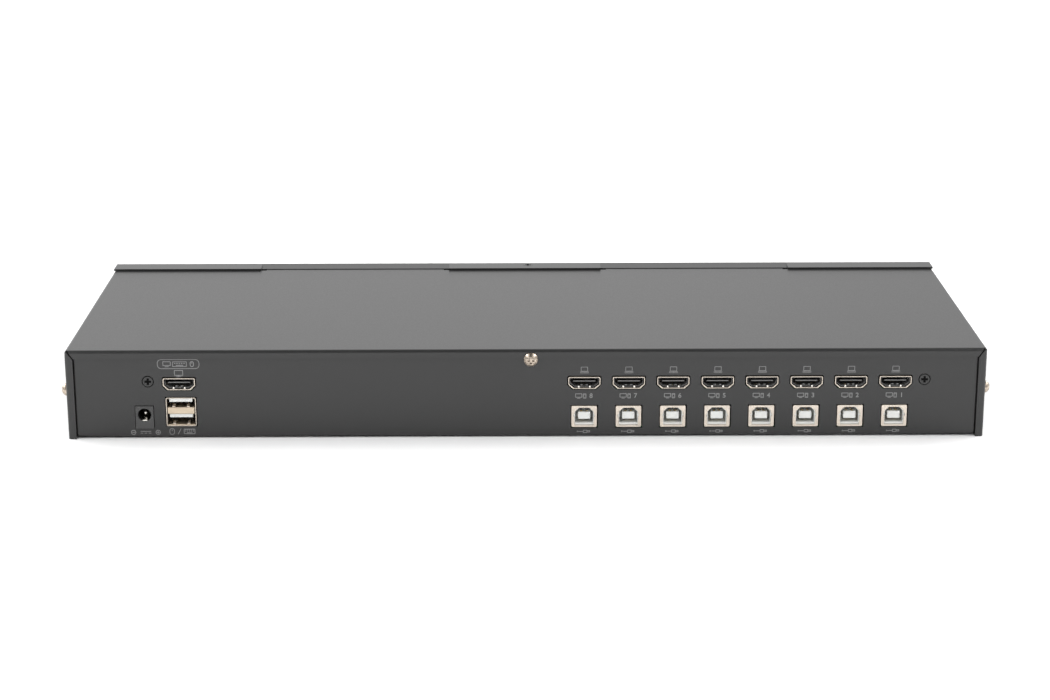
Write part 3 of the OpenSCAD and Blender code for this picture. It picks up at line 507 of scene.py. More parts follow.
def usb_b_sockets():
    """Eight sockets, each a shell, a white core with a tongue, and four contacts."""
    front, back = USB_B_LOW.y, USB_B_HIGH.y
    z = USB_B_MID.z
    height = USB_B_HIGH.z - USB_B_LOW.z
    wall = 0.4 * MM
    inner_w, inner_h = USB_B_W - 2 * wall, height - 2 * wall
    outer = centred(USB_B_W, height, 0.7 * MM)
    face = slab([[outer, usb_b_mouth(0.1 * MM, 0.35 * MM, True)]], front, front + 0.7 * MM, bevel=0.1 * MM,
                steps=3)
    sleeve = slab([[outer, centred(inner_w, inner_h, 0.5 * MM)]], front + 0.5 * MM, back)
    piece("usb_b_socket_shells", copies((face, sleeve), PORT_XS, z), SOCKET_STEEL,
          replaces=["usb_b_shells"])
    block_outline = centred(inner_w, inner_h, 0.4 * MM)
    cavity = [(cx, max(cz, -3.35 * MM)) for cx, cz in usb_b_mouth(-0.15 * MM, 0.3 * MM)]
    block = slab([[block_outline, cavity]], front + 0.75 * MM, front + 9.5 * MM, bevel=0.12 * MM)
    rear = slab([[block_outline]], front + 9.5 * MM, back - 0.5 * MM)
    tongue_z = 0.15 * MM
    tongue = slab([[centred(5.8 * MM, 3.5 * MM, 0.25 * MM, (0, tongue_z))]], front + 1.2 * MM,
                  front + 9.6 * MM, bevel=0.2 * MM, steps=3)
    piece("usb_b_socket_cores", copies((block, rear, tongue), PORT_XS, z),
          WHITE_PLASTIC, replaces=["usb_b_inserts"])
    contacts = [slab([[centred(0.9 * MM, 0.16 * MM, 0, (side * 1.25 * MM, tongue_z + over * 1.82 * MM))]],
                     front + 2.2 * MM, front + 9.4 * MM) for side in (-1, 1) for over in (-1, 1)]
    piece("usb_b_contacts", copies(contacts, PORT_XS, z), CONTACT_GOLD)
    # Thin black plates under the cavity's roof paint the shade of two slots.
    slot_shades = [slab([[centred(1.5 * MM, 0.9 * MM, 0.1 * MM, (dx * MM, 3.45 * MM))]], front + 1.0 * MM,
                  front + 1.15 * MM) for dx in (-1.3, 1.3)]
    piece("usb_b_slot_shade", copies(slot_shades, PORT_XS, z), BLACK_PLASTIC)


def usb_a_socket():
    """The double socket: one shell, a divider and a sill, and a tongue with contacts in each bay."""
    front, back = USB_A_LOW.y, USB_A_HIGH.y
    x, z = USB_A_MID.x, USB_A_MID.z
    width, height = USB_A_HIGH.x - USB_A_LOW.x, USB_A_HIGH.z - USB_A_LOW.z
    wall, side_gap = 0.38 * MM, 0.4 * MM
    floors = [(-6.1 * MM, 5.2 * MM), (2.3 * MM, 4.4 * MM)]  # (floor, height) of the lower and the upper bay
    mouth = rect(-width / 2 + wall, width / 2 - wall, -height / 2 + wall, height / 2 - wall, 0.4 * MM)
    shell = slab([[centred(width, height, 0.9 * MM), mouth]], front, back, bevel=0.1 * MM)
    piece("usb_a_socket_shell", copies([shell], [x], z), SOCKET_STEEL,
          replaces=["usb_a_shell"])
    inner = width / 2 - wall - side_gap
    divider = slab([[rect(-inner, inner, floors[0][0] + floors[0][1], floors[1][0], 0.2 * MM)]], front,
                   back - 1 * MM, bevel=0.12 * MM)
    sill = slab([[rect(-inner, inner, -height / 2 + wall, floors[0][0], 0.1 * MM)]], front, back - 1 * MM,
                bevel=0.1 * MM)
    piece("usb_a_divider", copies((divider, sill), [x], z), BRUSHED_NICKEL)
    cores, contacts, springs, linings, ribs = [], [], [], [], []
    for low, tall in floors:
        top = low + tall
        cores.append(slab([[rect(-5.4 * MM, 5.4 * MM, top - 1.85 * MM, top - 0.2 * MM, 0.2 * MM)]],
                          front + 0.5 * MM, back - 6 * MM, bevel=0.15 * MM, steps=3))
        linings.append(slab([[rect(-width / 2 + wall, width / 2 - wall, low, top, 0.1 * MM)]],
                            back - 6.5 * MM, back - 0.6 * MM))
        contacts += [slab([[centred(1.1 * MM, 0.1 * MM, 0, (dx * MM, top - 1.9 * MM))]], front + 1.4 * MM,
                          back - 6.5 * MM) for dx in (-3.5, -1.0, 1.0, 3.5)]
        springs += [leaf(dx * MM, front + 0.5 * MM, 5 * MM, low - 0.02 * MM, 0.85 * MM, 1.3 * MM, 0.5 * MM)
                    for dx in (-3.4, 3.4)]
        ribs += [slab([[centred(0.5 * MM, 1.0 * MM, 0.1 * MM, (dx * MM, top - 2.45 * MM))]], front + 2.2 * MM,
                      back - 6.5 * MM) for dx in (-4.4, -2.6, 0, 2.6, 4.4)]
    piece("usb_a_tongues", copies(cores, [x], z), WHITE_PLASTIC, replaces=["usb_a_inserts"])
    piece("usb_a_rear_blocks", copies(linings + ribs, [x], z), BLACK_PLASTIC)
    piece("usb_a_contacts", copies(contacts, [x], z), CONTACT_GOLD)
    piece("usb_a_springs", copies(springs, [x], z), SOCKET_STEEL)


def power_inlet():
    """The DC jack: a housing with a bore lined in black as painted shade, a centre pin and a spring."""
    front, back = JACK_LOW.y, JACK_HIGH.y
    x, bore_z = JACK_MID.x, PIN_MID.z
    bore_r = 3.15 * MM
    outline = rect(JACK_LOW.x, JACK_HIGH.x, JACK_LOW.z, JACK_HIGH.z, 0.25 * MM)
    board_low, board_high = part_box("main_board")
    flange_back, board_top = board_low.y - 0.1 * MM, board_high.z
    bore = disc(x, bore_z, bore_r)
    face = slab([[outline, bore]], front, flange_back, bevel=0.15 * MM)
    body_outline = rect(JACK_LOW.x, JACK_HIGH.x, board_top, JACK_HIGH.z, 0.3 * MM)
    bore_end = back - 2.5 * MM
    body = slab([[body_outline, bore]], flange_back, bore_end)
    rear = slab([[body_outline]], bore_end, back)
    piece("power_inlet_housing", [face, body, rear], JACK_PLASTIC,
          replaces=["dc_jack_housing"])
    # A near-black sheet inside the grey bore paints the shade deep in the bore.
    lining = slab([[bore, disc(x, bore_z, bore_r - 0.08 * MM)]], front + 0.9 * MM, bore_end)
    piece("power_inlet_bore_shade", [lining], BLACK_PLASTIC)
    pin = slab([[disc(x, bore_z, 1.0 * MM)]], PIN_LOW.y, PIN_HIGH.y, bevel=0.8 * MM, steps=5)
    piece("power_inlet_pin", [pin], BRIGHT_STEEL, replaces=["dc_jack_pin"])
    spring = leaf(x, front + 0.5 * MM, 7 * MM, bore_z - bore_r + 0.12 * MM, 0.8 * MM, 2.3 * MM, 0.5 * MM)
    piece("power_inlet_spring", [spring], BRIGHT_STEEL)


# ---------- legends: thin print on the panels ----------

PRINT_T = 0.03 * MM
PRINT_PROUD = 0.4  # how far the print's middle stands off the panel, as a share of its thickness
STROKE = 0.32 * MM
CAP_HEIGHT = 0.7  # of the built-in typeface, as a share of its size


def stroke(x0, z0, x1, z1):
    """A straight stroke between two points in millimetres."""
    start, end = Vector((x0, z0)) * MM, Vector((x1, z1)) * MM
    along = (end - start).normalized() * STROKE / 2
    side = Vector((-along.y, along.x))
    start, end = start - along, end + along
    return [[tuple(start + side), tuple(start - side), tuple(end - side), tuple(end + side)]]


def box_mark(width, height, radius=0.3, at=(0, 0), line=STROKE):
    """An outlined rectangle; sizes in millimetres, except for the line's width."""
    w, h, r, (x, z) = width * MM, height * MM, radius * MM, (at[0] * MM, at[1] * MM)
    return [centred(w, h, r, (x, z)), centred(w - 2 * line, h - 2 * line, max(r - line, 0), (x, z))]


def filled(width, height, radius=0.0, at=(0, 0)):
    """A filled rectangle; sizes in millimetres."""
    return [centred(width * MM, height * MM, radius * MM, (at[0] * MM, at[1] * MM))]


def ring(radius, at=(0, 0)):
    """An outlined circle; radius and place in millimetres."""
    x, z = at[0] * MM, at[1] * MM
    return [disc(x, z, radius * MM), disc(x, z, radius * MM - STROKE)]


def dot(radius, at=(0, 0)):
    """A filled circle; radius and place in millimetres."""
    return [disc(at[0] * MM, at[1] * MM, radius * MM, 16)]


LAPTOP = [box_mark(3.3, 2.3, 0.3, (0, 0.4), 0.26 * MM), box_mark(3.9, 0.9, 0.15, (0, -1.15), 0.2 * MM),
          *[filled(0.3, 0.3, 0, (dx, -1.15)) for dx in (-1.2, -0.6, 0, 0.6, 1.2)]]
COMPUTER = [box_mark(3.3, 2.0, 0.25, (-1.6, 0.25)), filled(1.5, 0.3, 0, (-1.6, -1.1)),
            box_mark(1.5, 2.4, 0.2, (1.2, 0)), filled(0.7, 0.22, 0, (1.2, 0.6)), dot(0.18, (1.2, -0.6))]
MONITOR = [box_mark(4.2, 2.7, 0.3, (0, 0.4)), filled(0.7, 0.5, 0, (0, -1.15)),
           filled(2.2, 0.35, 0.1, (0, -1.5))]
PLUG = [stroke(-3.2, 0, -0.6, 0), dot(0.38, (-3.1, 0)), box_mark(2.0, 1.5, 0.2, (0.5, 0)),
        box_mark(1.5, 1.0, 0.1, (2.1, 0)), *[filled(0.35, 0.25, 0, (2.2, dz)) for dz in (0.2, -0.2)]]
MOUSE = [[centred(2.4 * MM, 3.2 * MM, 1.1 * MM), centred(1.9 * MM, 2.7 * MM, 0.9 * MM)],
         filled(0.25, 0.9, 0.1, (0, 0.6))]
SLASH = [stroke(-0.7, -1.3, 0.7, 1.3)]
KEYBOARD = [box_mark(5.4, 2.6, 0.4), filled(2.6, 0.3, 0, (0, -0.65)),
            *[filled(0.45, 0.35, 0, (dx, dz)) for dz in (0.15, 0.75) for dx in (-1.8, -0.9, 0, 0.9, 1.8)]]
DIRECT_CURRENT = [filled(5.0, 0.3, 0, (0, 0.5)), *[filled(1.2, 0.3, 0, (dx, -0.4)) for dx in (-1.9, 0, 1.9)]]
POLES = [ring(1.2, (-5.8, 0)), stroke(-6.3, 0, -5.3, 0), ring(1.2, (5.8, 0)), stroke(5.3, 0, 6.3, 0),
         stroke(5.8, -0.5, 5.8, 0.5)]
# A screen, a keyboard and a mouse inside the console's outlined label.
CONSOLE_PILL = box_mark(19.8, 4.7, 1.9, (0, 0), 0.3 * MM)
CONSOLE_SIGNS = [box_mark(3.8, 2.2, 0.2, (-5.4, 0.25)), filled(1.9, 0.35, 0, (-5.4, -1.25)),
                 box_mark(6.8, 2.6, 0.3, (0.6, 0)), filled(3.4, 0.4, 0, (0.6, -0.6)),
                 *[filled(0.7, 0.4, 0, (dx + 0.6, 0.4)) for dx in (-2.2, -1.1, 0, 1.1, 2.2)],
                 box_mark(1.9, 2.8, 0.9, (6.4, 0), 0.36 * MM), filled(0.3, 0.8, 0, (6.4, 0.6))]


def printed(mesh, x, z, y, out):
    """A flat print moved onto a panel whose face is at y and looks along out (-1 or 1)."""
    if out > 0:
        mesh.transform(Matrix.Rotation(math.pi, 4, "Z"))
    mesh.transform(Matrix.Translation((x, y + out * PRINT_T * PRINT_PROUD, z)))
    return mesh


def marks(shapes, x, z, y, out):
    """Printed shapes at a place on a panel."""
    return [printed(slab([shape], -PRINT_T / 2, PRINT_T / 2), x, z, y, out) for shape in shapes]


def numeral(text, height, x, z, y, out):
    """A figure of the built-in typeface, centred on a place on a panel."""
    curve = bpy.data.curves.new("numeral", "FONT")
    curve.body = text
    curve.size = height / CAP_HEIGHT
    curve.align_x = "CENTER"
    curve.align_y = "CENTER"
    curve.extrude = PRINT_T / 2
    curve.offset = 0.05 * MM
    holder = bpy.data.objects.new("numeral", curve)
    bpy.context.scene.collection.objects.link(holder)
    bpy.context.view_layer.update()
    mesh = bpy.data.meshes.new_from_object(holder.evaluated_get(bpy.context.evaluated_depsgraph_get()))
    bpy.data.objects.remove(holder)
    bpy.data.curves.remove(curve)
    mesh.transform(Matrix.Rotation(math.pi / 2, 4, "X"))
    return printed(mesh, x, z, y, out)


def rear_legends():
    """The print on the rear panel: signs and figures for the ports, the console and the power inlet."""
    panel = (PANEL_Y, -1)
    under_hdmi, over_hdmi, under_usb = 20.3 * MM, 33.1 * MM, 2.75 * MM
    meshes = []
    for i, x in enumerate(PORT_XS):
        meshes += marks(LAPTOP, x, over_hdmi, *panel)
        meshes += marks(COMPUTER, x - 1.0 * MM, under_hdmi, *panel)
        meshes.append(numeral(str(i + 1), 2.2 * MM, x + 3.2 * MM, under_hdmi, *panel))
        meshes += marks(PLUG, x, under_usb, *panel)
    piece("port_legends", meshes, PRINT)
    pill_z, screen_z, low_z = 36.6 * MM, 31.9 * MM, 3.4 * MM
    meshes = marks([CONSOLE_PILL, *CONSOLE_SIGNS], CONSOLE_X, pill_z, *panel)
    meshes += marks(MONITOR, CONSOLE_X, screen_z, *panel)
    for signs, dx in ((MOUSE, -4.2 * MM), (SLASH, -0.7 * MM), (KEYBOARD, 4.0 * MM)):
        meshes += marks(signs, CONSOLE_X + dx, low_z, *panel)
    piece("console_legends", meshes, PRINT)
    piece("power_legends", marks(DIRECT_CURRENT + POLES, JACK_MID.x + 0.2 * MM, 3.0 * MM, *panel), PRINT)


def front_legends():
    """The print on the front overlay: a figure and two signs a button, a power sign and a border."""
    panel = (OVERLAY_HIGH.y, 1)
    meshes = []
    sign_z = size_of("port_light_pipes")[2].z + 4 * MM
    small_laptop = [[[(0.8 * x, 0.8 * z) for x, z in outline] for outline in shape] for shape in LAPTOP]
    for i, node in enumerate(BUTTONS):
        x, _, z = size_of(node)[2]
        meshes.append(numeral(str(i + 1), 3.0 * MM, x, z - 8.2 * MM, *panel))
        meshes += marks(small_laptop, x + 3.2 * MM, sign_z, *panel)
        meshes += marks([ring(1.0), stroke(0, 0.3, 0, 1.5)], x - 3.2 * MM, sign_z, *panel)
    light = size_of("power_light_pipe")[2]
    meshes += marks([ring(1.7), stroke(0, 0.6, 0, 2.4)], light.x, light.z + 5 * MM, *panel)
    piece("front_legends", meshes, PRINT)
    border = [rect(OVERLAY_LOW.x + inset, OVERLAY_HIGH.x - inset, OVERLAY_LOW.z + inset,
                   OVERLAY_HIGH.z - inset, radius)
              for inset, radius in ((1.5 * MM, 2.2 * MM), (1.8 * MM, 1.9 * MM))]
    piece("front_border", marks([border], 0, 0, *panel), PRINT)


# ---------- select buttons ----------


def select_buttons():
    """Eight buttons, each a rounded cap on a flange with a stem, riding on its own sliding key."""
    rim, rim_t, stem_r = 1.2 * MM, 1.2 * MM, 1.9 * MM
    rim_back = FRONT_Y - 2.5 * MM
    for number, node in enumerate(BUTTONS, 1):
        low, high, mid = size_of(node)
        width, height = high.x - low.x, high.z - low.z
        cap = slab([[centred(width - 2 * rim, height - 2 * rim, 1.1 * MM, (0, 0), 8)]],
                   rim_back + rim_t - 0.1 * MM, high.y - 0.001 * MM, bevel=0.55 * MM, steps=5)
        flange = slab([[centred(width, height, 1.3 * MM)]], rim_back, rim_back + rim_t, bevel=0.15 * MM)
        stem = slab([[disc(0, 0, stem_r)]], low.y, rim_back + 0.1 * MM)
        piece(f"select_button_{number}", copies((cap, flange, stem), [mid.x], mid.z),
              BUTTON_PLASTIC, f"key_{number}", [node])


# ---------- parts on the boards ----------


def solids_of(node):
    """The boxes of a CAD node's separate solids, as (low, high) pairs, sorted by place."""
    bm = bmesh.new()
    bm.from_mesh(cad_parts[node].data)
    bmesh.ops.remove_doubles(bm, verts=bm.verts, dist=0.001 * MM)
    boxes, seen = [], set()
    for start in bm.verts:
        if start in seen:
            continue
        group, queue = [], [start]
        seen.add(start)
        while queue:
            vert = queue.pop()
            group.append(vert.co)
            for edge in vert.link_edges:
                other = edge.other_vert(vert)
                if other not in seen:
                    seen.add(other)
                    queue.append(other)
        low = Vector([min(co[k] for co in group) for k in range(3)])
        high = Vector([max(co[k] for co in group) for k in range(3)])
        boxes.append((low, high))
    bm.free()
    return sorted(boxes, key=lambda box: tuple(round(c, 5) for c in box[0]))


def lathe(profile, x, y, steps=36):
    """A closed outline of (radius, height) points turned about the vertical through x, y."""
    bm = bmesh.new()
    rings = []
    for radius, height in profile:
        if radius < 0.001 * MM:
            rings.append([bm.verts.new((x, y, height))])
        else:
            rings.append([bm.verts.new((x + radius * math.cos(2 * math.pi * k / steps),
                                        y + radius * math.sin(2 * math.pi * k / steps), height))
                          for k in range(steps)])
    for lower, upper in zip(rings, rings[1:]):
        for k in range(steps):
            after = (k + 1) % steps
            corners = [lower[k % len(lower)], lower[after % len(lower)], upper[after % len(upper)],
                       upper[k % len(upper)]]
            corners = [v for i, v in enumerate(corners) if v not in corners[:i]]
            bm.faces.new(corners)
    mesh = bpy.data.meshes.new("lathe")
    bm.to_mesh(mesh)
    bm.free()
    return mesh


def leg(reach, height, width):
    """A gull-wing leg that leaves a body at x = 0 and steps down to z = 0."""
    thick = 0.15 * MM
    side = [(0, height), (reach * 0.35, height), (reach * 0.55, thick), (reach, thick), (reach, 0),
            (reach * 0.5, 0), (reach * 0.3, height - thick), (0, height - thick)]
    return slab([[side]], -width / 2, width / 2)


def packaged_chip(name, node, per_side):
    """Flat packages with legs on four sides and a pin-1 dimple."""
    bodies, legs = [], []
    for low, high in solids_of(node):
        mid, height = (low + high) / 2, high.z - low.z
        half_w, half_d = (high.x - low.x) / 2, (high.y - low.y) / 2
        edge = min(0.5 * MM, height * 0.3)
        outline = centred(2 * half_w, 2 * half_d, 0.5 * MM, (mid.x, mid.y))
        dimple = disc(mid.x - half_w + 1.6 * MM, mid.y - half_d + 1.6 * MM, 0.55 * MM, 20)
        bodies.append(slab([[outline, dimple]], high.z - edge, high.z, "xy", bevel=0.12 * MM))
        bodies.append(slab([[outline]], low.z + 0.1 * MM, high.z - edge * 0.9, "xy", bevel=0.04 * MM))
        pitch = 2 * (half_w - 0.9 * MM) / (per_side - 1)
        one = leg(0.9 * MM, height * 0.5, pitch * 0.45)
        for turn in range(4):
            out = half_w if turn % 2 == 0 else half_d
            side = Matrix.Translation((mid.x, mid.y, low.z)) @ Matrix.Rotation(turn * math.pi / 2, 4, "Z")
            for k in range(per_side):
                placed = moved(one, out - 0.05 * MM, (k - (per_side - 1) / 2) * pitch)
                placed.transform(side)
                legs.append(placed)
    piece(name, bodies, CHIP_EPOXY, replaces=[node])
    piece(name + "_legs", legs, ZINC_STEEL)


def can_capacitors():
    """Electrolytic cans: a sleeve with a crimped neck, and a metal top with a slot."""
    sleeves, tops = [], []
    for low, high in solids_of("capacitors"):
        mid, r, z0, z1 = (low + high) / 2, (high.x - low.x) / 2, low.z, high.z
        neck = z0 + 1.7 * MM
        sleeves.append(lathe([(0, z0), (r - 0.2 * MM, z0), (r, z0 + 0.2 * MM), (r, neck - 0.5 * MM),
                              (r - 0.35 * MM, neck), (r, neck + 0.5 * MM), (r, z1 - 0.5 * MM),
                              (r - 0.15 * MM, z1 - 0.15 * MM), (r - 0.5 * MM, z1),
                              (r - 0.9 * MM, z1 - 0.05 * MM), (r - 0.9 * MM, z1 - 0.4 * MM),
                              (0, z1 - 0.4 * MM)], mid.x, mid.y))
        centre = mid.xy
        along = Vector((1, 1)).normalized() * (r - 1.6 * MM)
        across = Vector((-1, 1)).normalized() * 0.1 * MM
        slot = [tuple(centre + along + across), tuple(centre - along + across),
                tuple(centre - along - across), tuple(centre + along - across)]
        face = disc(mid.x, mid.y, r - 0.9 * MM, 36)
        tops.append(slab([[face, slot]], z1 - 0.45 * MM, z1 - 0.12 * MM, "xy"))
    piece("capacitor_sleeves", sleeves, CAN_SLEEVE, replaces=["capacitors"])
    piece("capacitor_tops", tops, BRIGHT_STEEL)


def power_inductors():
    """Shielded inductors: a square ferrite with a ring groove, and a terminal each side."""
    cores, ends = [], []
    for low, high in solids_of("inductors"):
        mid, half = (low + high) / 2, (high.x - low.x) / 2
        outline = centred(2 * half, high.y - low.y, 2.2 * MM, (mid.x, mid.y))
        cores.append(slab([[outline, disc(mid.x, mid.y, half * 0.72)]], high.z - 1.4 * MM, high.z, "xy",
                          bevel=0.25 * MM))
        cores.append(slab([[outline]], low.z, high.z - 1.3 * MM, "xy", bevel=0.2 * MM))
        cores.append(slab([[disc(mid.x, mid.y, half * 0.42)]], high.z - 1.4 * MM, high.z - 0.2 * MM, "xy",
                          bevel=0.2 * MM))
        for side in (-1, 1):
            ends.append(slab([[centred(0.5 * MM, 3.0 * MM, 0.1 * MM, (mid.x + side * half, mid.y))]], low.z,
                             low.z + 2.4 * MM, "xy", bevel=0.08 * MM))
    piece("inductor_cores", cores, FERRITE, replaces=["inductors"])
    piece("inductor_terminals", ends, BRIGHT_STEEL)


def crystal_cans():
    """Crystals in flat oval cans on a thin flange."""
    cans = []
    for low, high in solids_of("crystals"):
        mid, width, depth = (low + high) / 2, high.x - low.x, high.y - low.y
        round_r = depth / 2 - 0.35 * MM
        cans.append(slab([[centred(width, depth, depth / 2 - 0.1 * MM, (mid.x, mid.y), 10)]], low.z,
                         low.z + 0.4 * MM, "xy", bevel=0.1 * MM))
        cans.append(slab([[centred(width - 0.6 * MM, depth - 0.6 * MM, round_r, (mid.x, mid.y), 10)]],
                         low.z + 0.3 * MM, high.z, "xy", bevel=0.3 * MM, steps=4))
    piece("crystal_cans", cans, BRIGHT_STEEL, replaces=["crystals"])


def sounder():
    """A round buzzer with a sound hole in a raised collar."""
    low, high, mid = size_of("buzzer")
    r, z0, z1 = (high.x - low.x) / 2, low.z, high.z
    hole = 1.0 * MM
    profile = [(0, z0), (r - 0.3 * MM, z0), (r, z0 + 0.3 * MM), (r, z1 - 0.8 * MM), (r - 0.8 * MM, z1),
               (r - 1.8 * MM, z1), (r - 2.0 * MM, z1 - 0.3 * MM), (hole + 0.6 * MM, z1 - 0.3 * MM),
               (hole + 0.2 * MM, z1 - 0.05 * MM), (hole, z1 - 0.2 * MM), (hole, z1 - 1.5 * MM),
               (0, z1 - 1.5 * MM)]
    piece("sounder", [lathe(profile, mid.x, mid.y, 48)], BLACK_PLASTIC, replaces=["buzzer"])


def link_headers():
    """Board-to-board headers whose sides are ribbed between the ways."""
    way = 2.54 * MM
    bodies = []
    for low, high in solids_of("board_connectors"):
        ways = int((high.x - low.x) / way)
        start = (low.x + high.x - ways * way) / 2
        nick = 0.35 * MM
        near, far = [], []
        for k in range(ways):
            x = start + k * way
            for row, y, inwards in ((near, low.y, nick), (far, high.y, -nick)):
                row.extend([(x, y + inwards), (x + nick, y), (x + way - nick, y), (x + way, y + inwards)])
        corners = near + far[::-1]
        outline = [p for i, p in enumerate(corners) if p != corners[i - 1]]
        bodies.append(slab([[outline]], low.z, high.z, "xy"))
    piece("board_link_headers", bodies, BLACK_PLASTIC, replaces=["board_connectors"])


# ---------- case ----------

CAD_LOOKS = {
    "top_cover": PAINT, "base_chassis": PAINT, "front_overlay": OVERLAY_FILM,
    "rear_panel_screws": BLACK_STEEL, "strip_screw": BLACK_STEEL, "rear_cover_screw": CASE_SCREW_STEEL,
    "side_cover_screws": CASE_SCREW_STEEL, "board_screws": BRIGHT_STEEL, "rack_nuts": ZINC_STEEL,
    "pan_standoffs": ZINC_STEEL, "front_standoffs": ZINC_STEEL, "support_brackets": ZINC_STEEL,
    "board_standoffs": BRASS, "main_board": LAMINATE, "hdmi_board": LAMINATE,
    "button_board": UPRIGHT_LAMINATE, "switch_housings": BLACK_PLASTIC, "ribbon_headers": BLACK_PLASTIC,
    "port_light_pipes": CLEAR_ACRYLIC, "power_light_pipe": CLEAR_ACRYLIC, "port_leds": LED_RESIN,
    "power_led": LED_RESIN, "heat_sink": ANODISED, "ribbon_cable": RIBBON, "insulating_film": CLEAR_FILM,
    **{f"switch_plunger_{i + 1}": WHITE_PLASTIC for i in range(PORTS)},
}
SHEET_METAL = ("top_cover", "base_chassis")
SHEET_EDGE = 0.18 * MM
RECESS_ARM = 0.34  # the width of a crossed recess's arm, as a share of its size


def cross(x, z, size):
    """An upright cross as an outline."""
    reach, arm = size / 2, size * RECESS_ARM / 2
    corners = [(arm, reach), (arm, arm), (reach, arm), (reach, -arm), (arm, -arm), (arm, -reach)]
    return [Vector((x + dx, z + dz)) for dx, dz in corners + [(-dx, -dz) for dx, dz in corners]]


def paint_recess_shade():
    """Painted shade: near-black plates laid in the crossed recesses of the rear panel's black screws, where
    the recesses are only in shade.
    """
    shade_plates = []
    for low, high in solids_of("rear_panel_screws"):
        middle = (low + high) / 2
        face = low.y + 0.3 * MM
        shade_plates.append(slab([[cross(middle.x, middle.z, 3.1 * MM)]], face, face + 0.1 * MM))
    piece("screw_recess_painted_shade", shade_plates, RECESS_PAINTED_SHADE)


def round_edges(obj, width):
    """A small round on a sheet's sharp edges."""
    bevel = obj.modifiers.new("round_edges", "BEVEL")
    bevel.width = width
    bevel.segments = 2
    bevel.limit_method = "ANGLE"
    bevel.angle_limit = math.radians(50)
    bevel.use_clamp_overlap = True


def paint_cad():
    """Materials and shading on the CAD nodes that stay as they are."""
    for name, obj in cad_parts.items():
        if name in CAD_LOOKS:
            obj.data.materials.clear()
            obj.data.materials.append(CAD_LOOKS[name])
            if name in SHEET_METAL:
                round_edges(obj, SHEET_EDGE)
            tidy_shading(obj, 32)


# ---------- stage ----------


def floor():
    """A white floor twelve metres across."""
    mesh = bpy.data.meshes.new("floor")
    half = 6.0
    mesh.from_pydata([(-half, -half, 0), (half, -half, 0), (half, half, 0), (-half, half, 0)], [],
                     [(0, 1, 2, 3)])
    obj = bpy.data.objects.new("floor", mesh)
    bpy.context.scene.collection.objects.link(obj)
    obj.data.materials.append(surface("floor", grey(0.92), 0.9, grain_mm=2, grain_depth_mm=0.01, drift=0.01))


def area_light(name, at, target, size, power, in_gloss=True):
    """A rectangular light of that size, turned towards a target; in_gloss shows it in reflections."""
    light = bpy.data.lights.new(name, "AREA")
    light.shape = "RECTANGLE"
    light.size, light.size_y = size
    light.energy = power
    obj = bpy.data.objects.new(name, light)
    obj.location = at
    obj.rotation_euler = (Vector(target) - Vector(at)).to_track_quat("-Z", "Y").to_euler()
    obj.visible_glossy = in_gloss
    bpy.context.scene.collection.objects.link(obj)


SWEEP_SPAN = (0.05, 0.6)  # over the direction's Y, from the socket side to the far side
SIDE_SPAN, SIDE_FALL = (0.04, 0.24), (1.0, 0.84)  # over the direction's X, a slight fall to the right
HORIZON_SPAN = (0.02, 0.30)  # over the direction's Z, from the horizon upwards
DARK_SIDE, BRIGHT_SIDE, HORIZON_GLOW = 0.12, 1.10, 0.95


def studio_world():
    """A bright sweep behind the object that falls off overhead, and a glow along the horizon."""
    world = bpy.data.worlds.new("studio")
    world.use_nodes = True
    nodes, links = world.node_tree.nodes, world.node_tree.links

    def joined(operation, first, second):
        node = nodes.new("ShaderNodeMath")
        node.operation = operation
        links.new(first, node.inputs[0])
        links.new(second, node.inputs[1])
        return node.outputs["Value"]

    def ramp(axis, span, results):
        return remapped(nodes, links, axes.outputs[axis], span, results, "SMOOTHSTEP")

    place = nodes.new("ShaderNodeTexCoord")
    axes = nodes.new("ShaderNodeSeparateXYZ")
    links.new(place.outputs["Generated"], axes.inputs["Vector"])
    sweep = ramp("Y", SWEEP_SPAN, (DARK_SIDE, BRIGHT_SIDE))
    sweep = joined("MULTIPLY", sweep, ramp("X", SIDE_SPAN, SIDE_FALL))
    strength = joined("MAXIMUM", sweep, ramp("Z", HORIZON_SPAN, (HORIZON_GLOW, DARK_SIDE)))
    links.new(strength, nodes["Background"].inputs["Strength"])
    nodes["Background"].inputs["Color"].default_value = (1, 1, 1, 1)
    bpy.context.scene.world = world


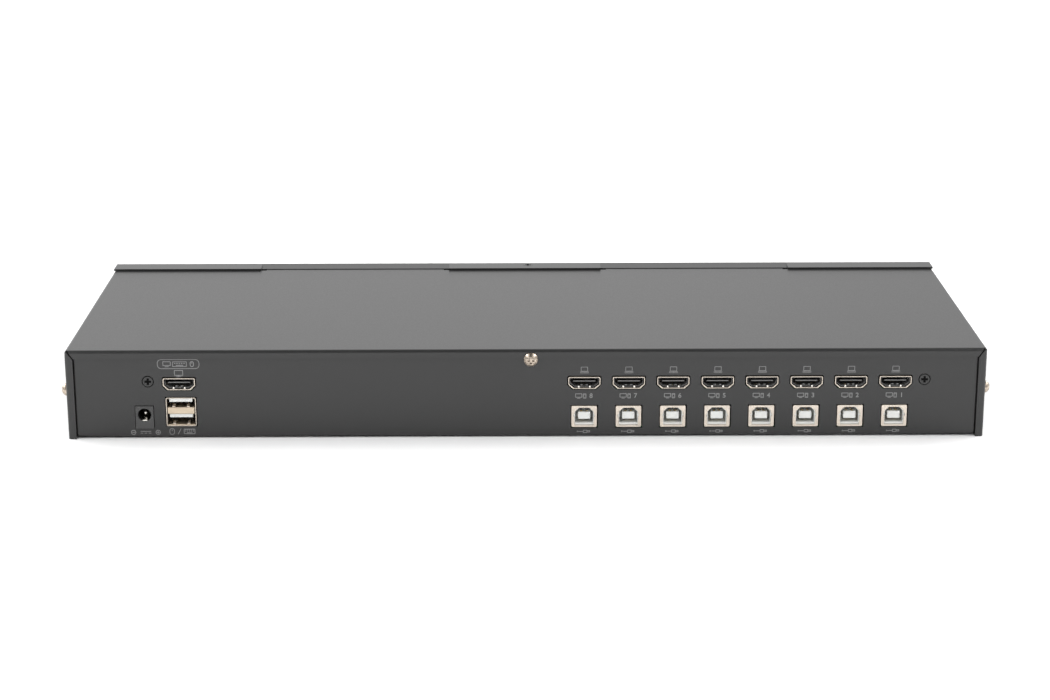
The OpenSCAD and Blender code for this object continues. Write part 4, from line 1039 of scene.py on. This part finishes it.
# The square lights that stand on both sides: name, (x, y, z), what they aim at on the floor, edge, watts.
SOFTBOXES = [
    ("side_softbox", (1.6, 0.1, 1.3), (0.1, -0.05), 1.2, 24),
    ("front_softbox", (1.0, -0.7, 0.95), (0.1, -0.12), 0.8, 6.0),
    ("far_softbox", (1.8, -3.2, 1.6), (0.4, -3.6), 1.6, 14),
    ("back_softbox", (1.7, 1.6, 1.4), (0.2, 1.2), 1.2, 24),
]


def lights():
    studio_world()
    area_light("near_strip", (0, -0.36, 0.26), (0, -0.1, 0), (1.0, 0.1), 0.35, in_gloss=False)
    for side in (-1, 1):
        for name, (x, y, z), (aim_x, aim_y), edge, power in SOFTBOXES:
            area_light(name, (side * x, y, z), (side * aim_x, aim_y, 0), (edge, edge), power)


CAMERA_AT = (-9.3 * MM, -1131.6 * MM, 355.6 * MM)
CAMERA_TURN = (0.47, 16.54, 0.042)  # to the right, downwards and about its own axis, in degrees
CAMERA_LENS, CAMERA_SENSOR = 80.5, 36


def camera():
    """The camera stands behind the object, where the sockets are."""
    data = bpy.data.cameras.new("camera")
    data.lens, data.sensor_width = CAMERA_LENS, CAMERA_SENSOR
    obj = bpy.data.objects.new("camera", data)
    yaw, pitch, roll = (math.radians(angle) for angle in CAMERA_TURN)
    forward = Vector((math.sin(yaw) * math.cos(pitch), math.cos(yaw) * math.cos(pitch), -math.sin(pitch)))
    turn = forward.to_track_quat("-Z", "Y").to_matrix() @ Matrix.Rotation(-roll, 3, "Z")
    obj.matrix_world = Matrix.Translation(CAMERA_AT) @ turn.to_4x4()
    bpy.context.scene.collection.objects.link(obj)
    bpy.context.scene.camera = obj


bpy.context.scene.view_settings.view_transform = "Standard"
paint_cad()
hdmi_sockets()
usb_b_sockets()
usb_a_socket()
power_inlet()
rear_legends()
front_legends()
select_buttons()
packaged_chip("video_switch_chips", "hdmi_switch_chips", 12)
packaged_chip("scaler_package", "scaler_chip", 30)
packaged_chip("usb_hub_packages", "usb_hub_chips", 14)
packaged_chip("controller_package", "controller_chip", 22)
can_capacitors()
power_inductors()
crystal_cans()
sounder()
link_headers()
# Painted shade in the black screws' crossed recesses.
paint_recess_shade()
floor()
lights()
camera()
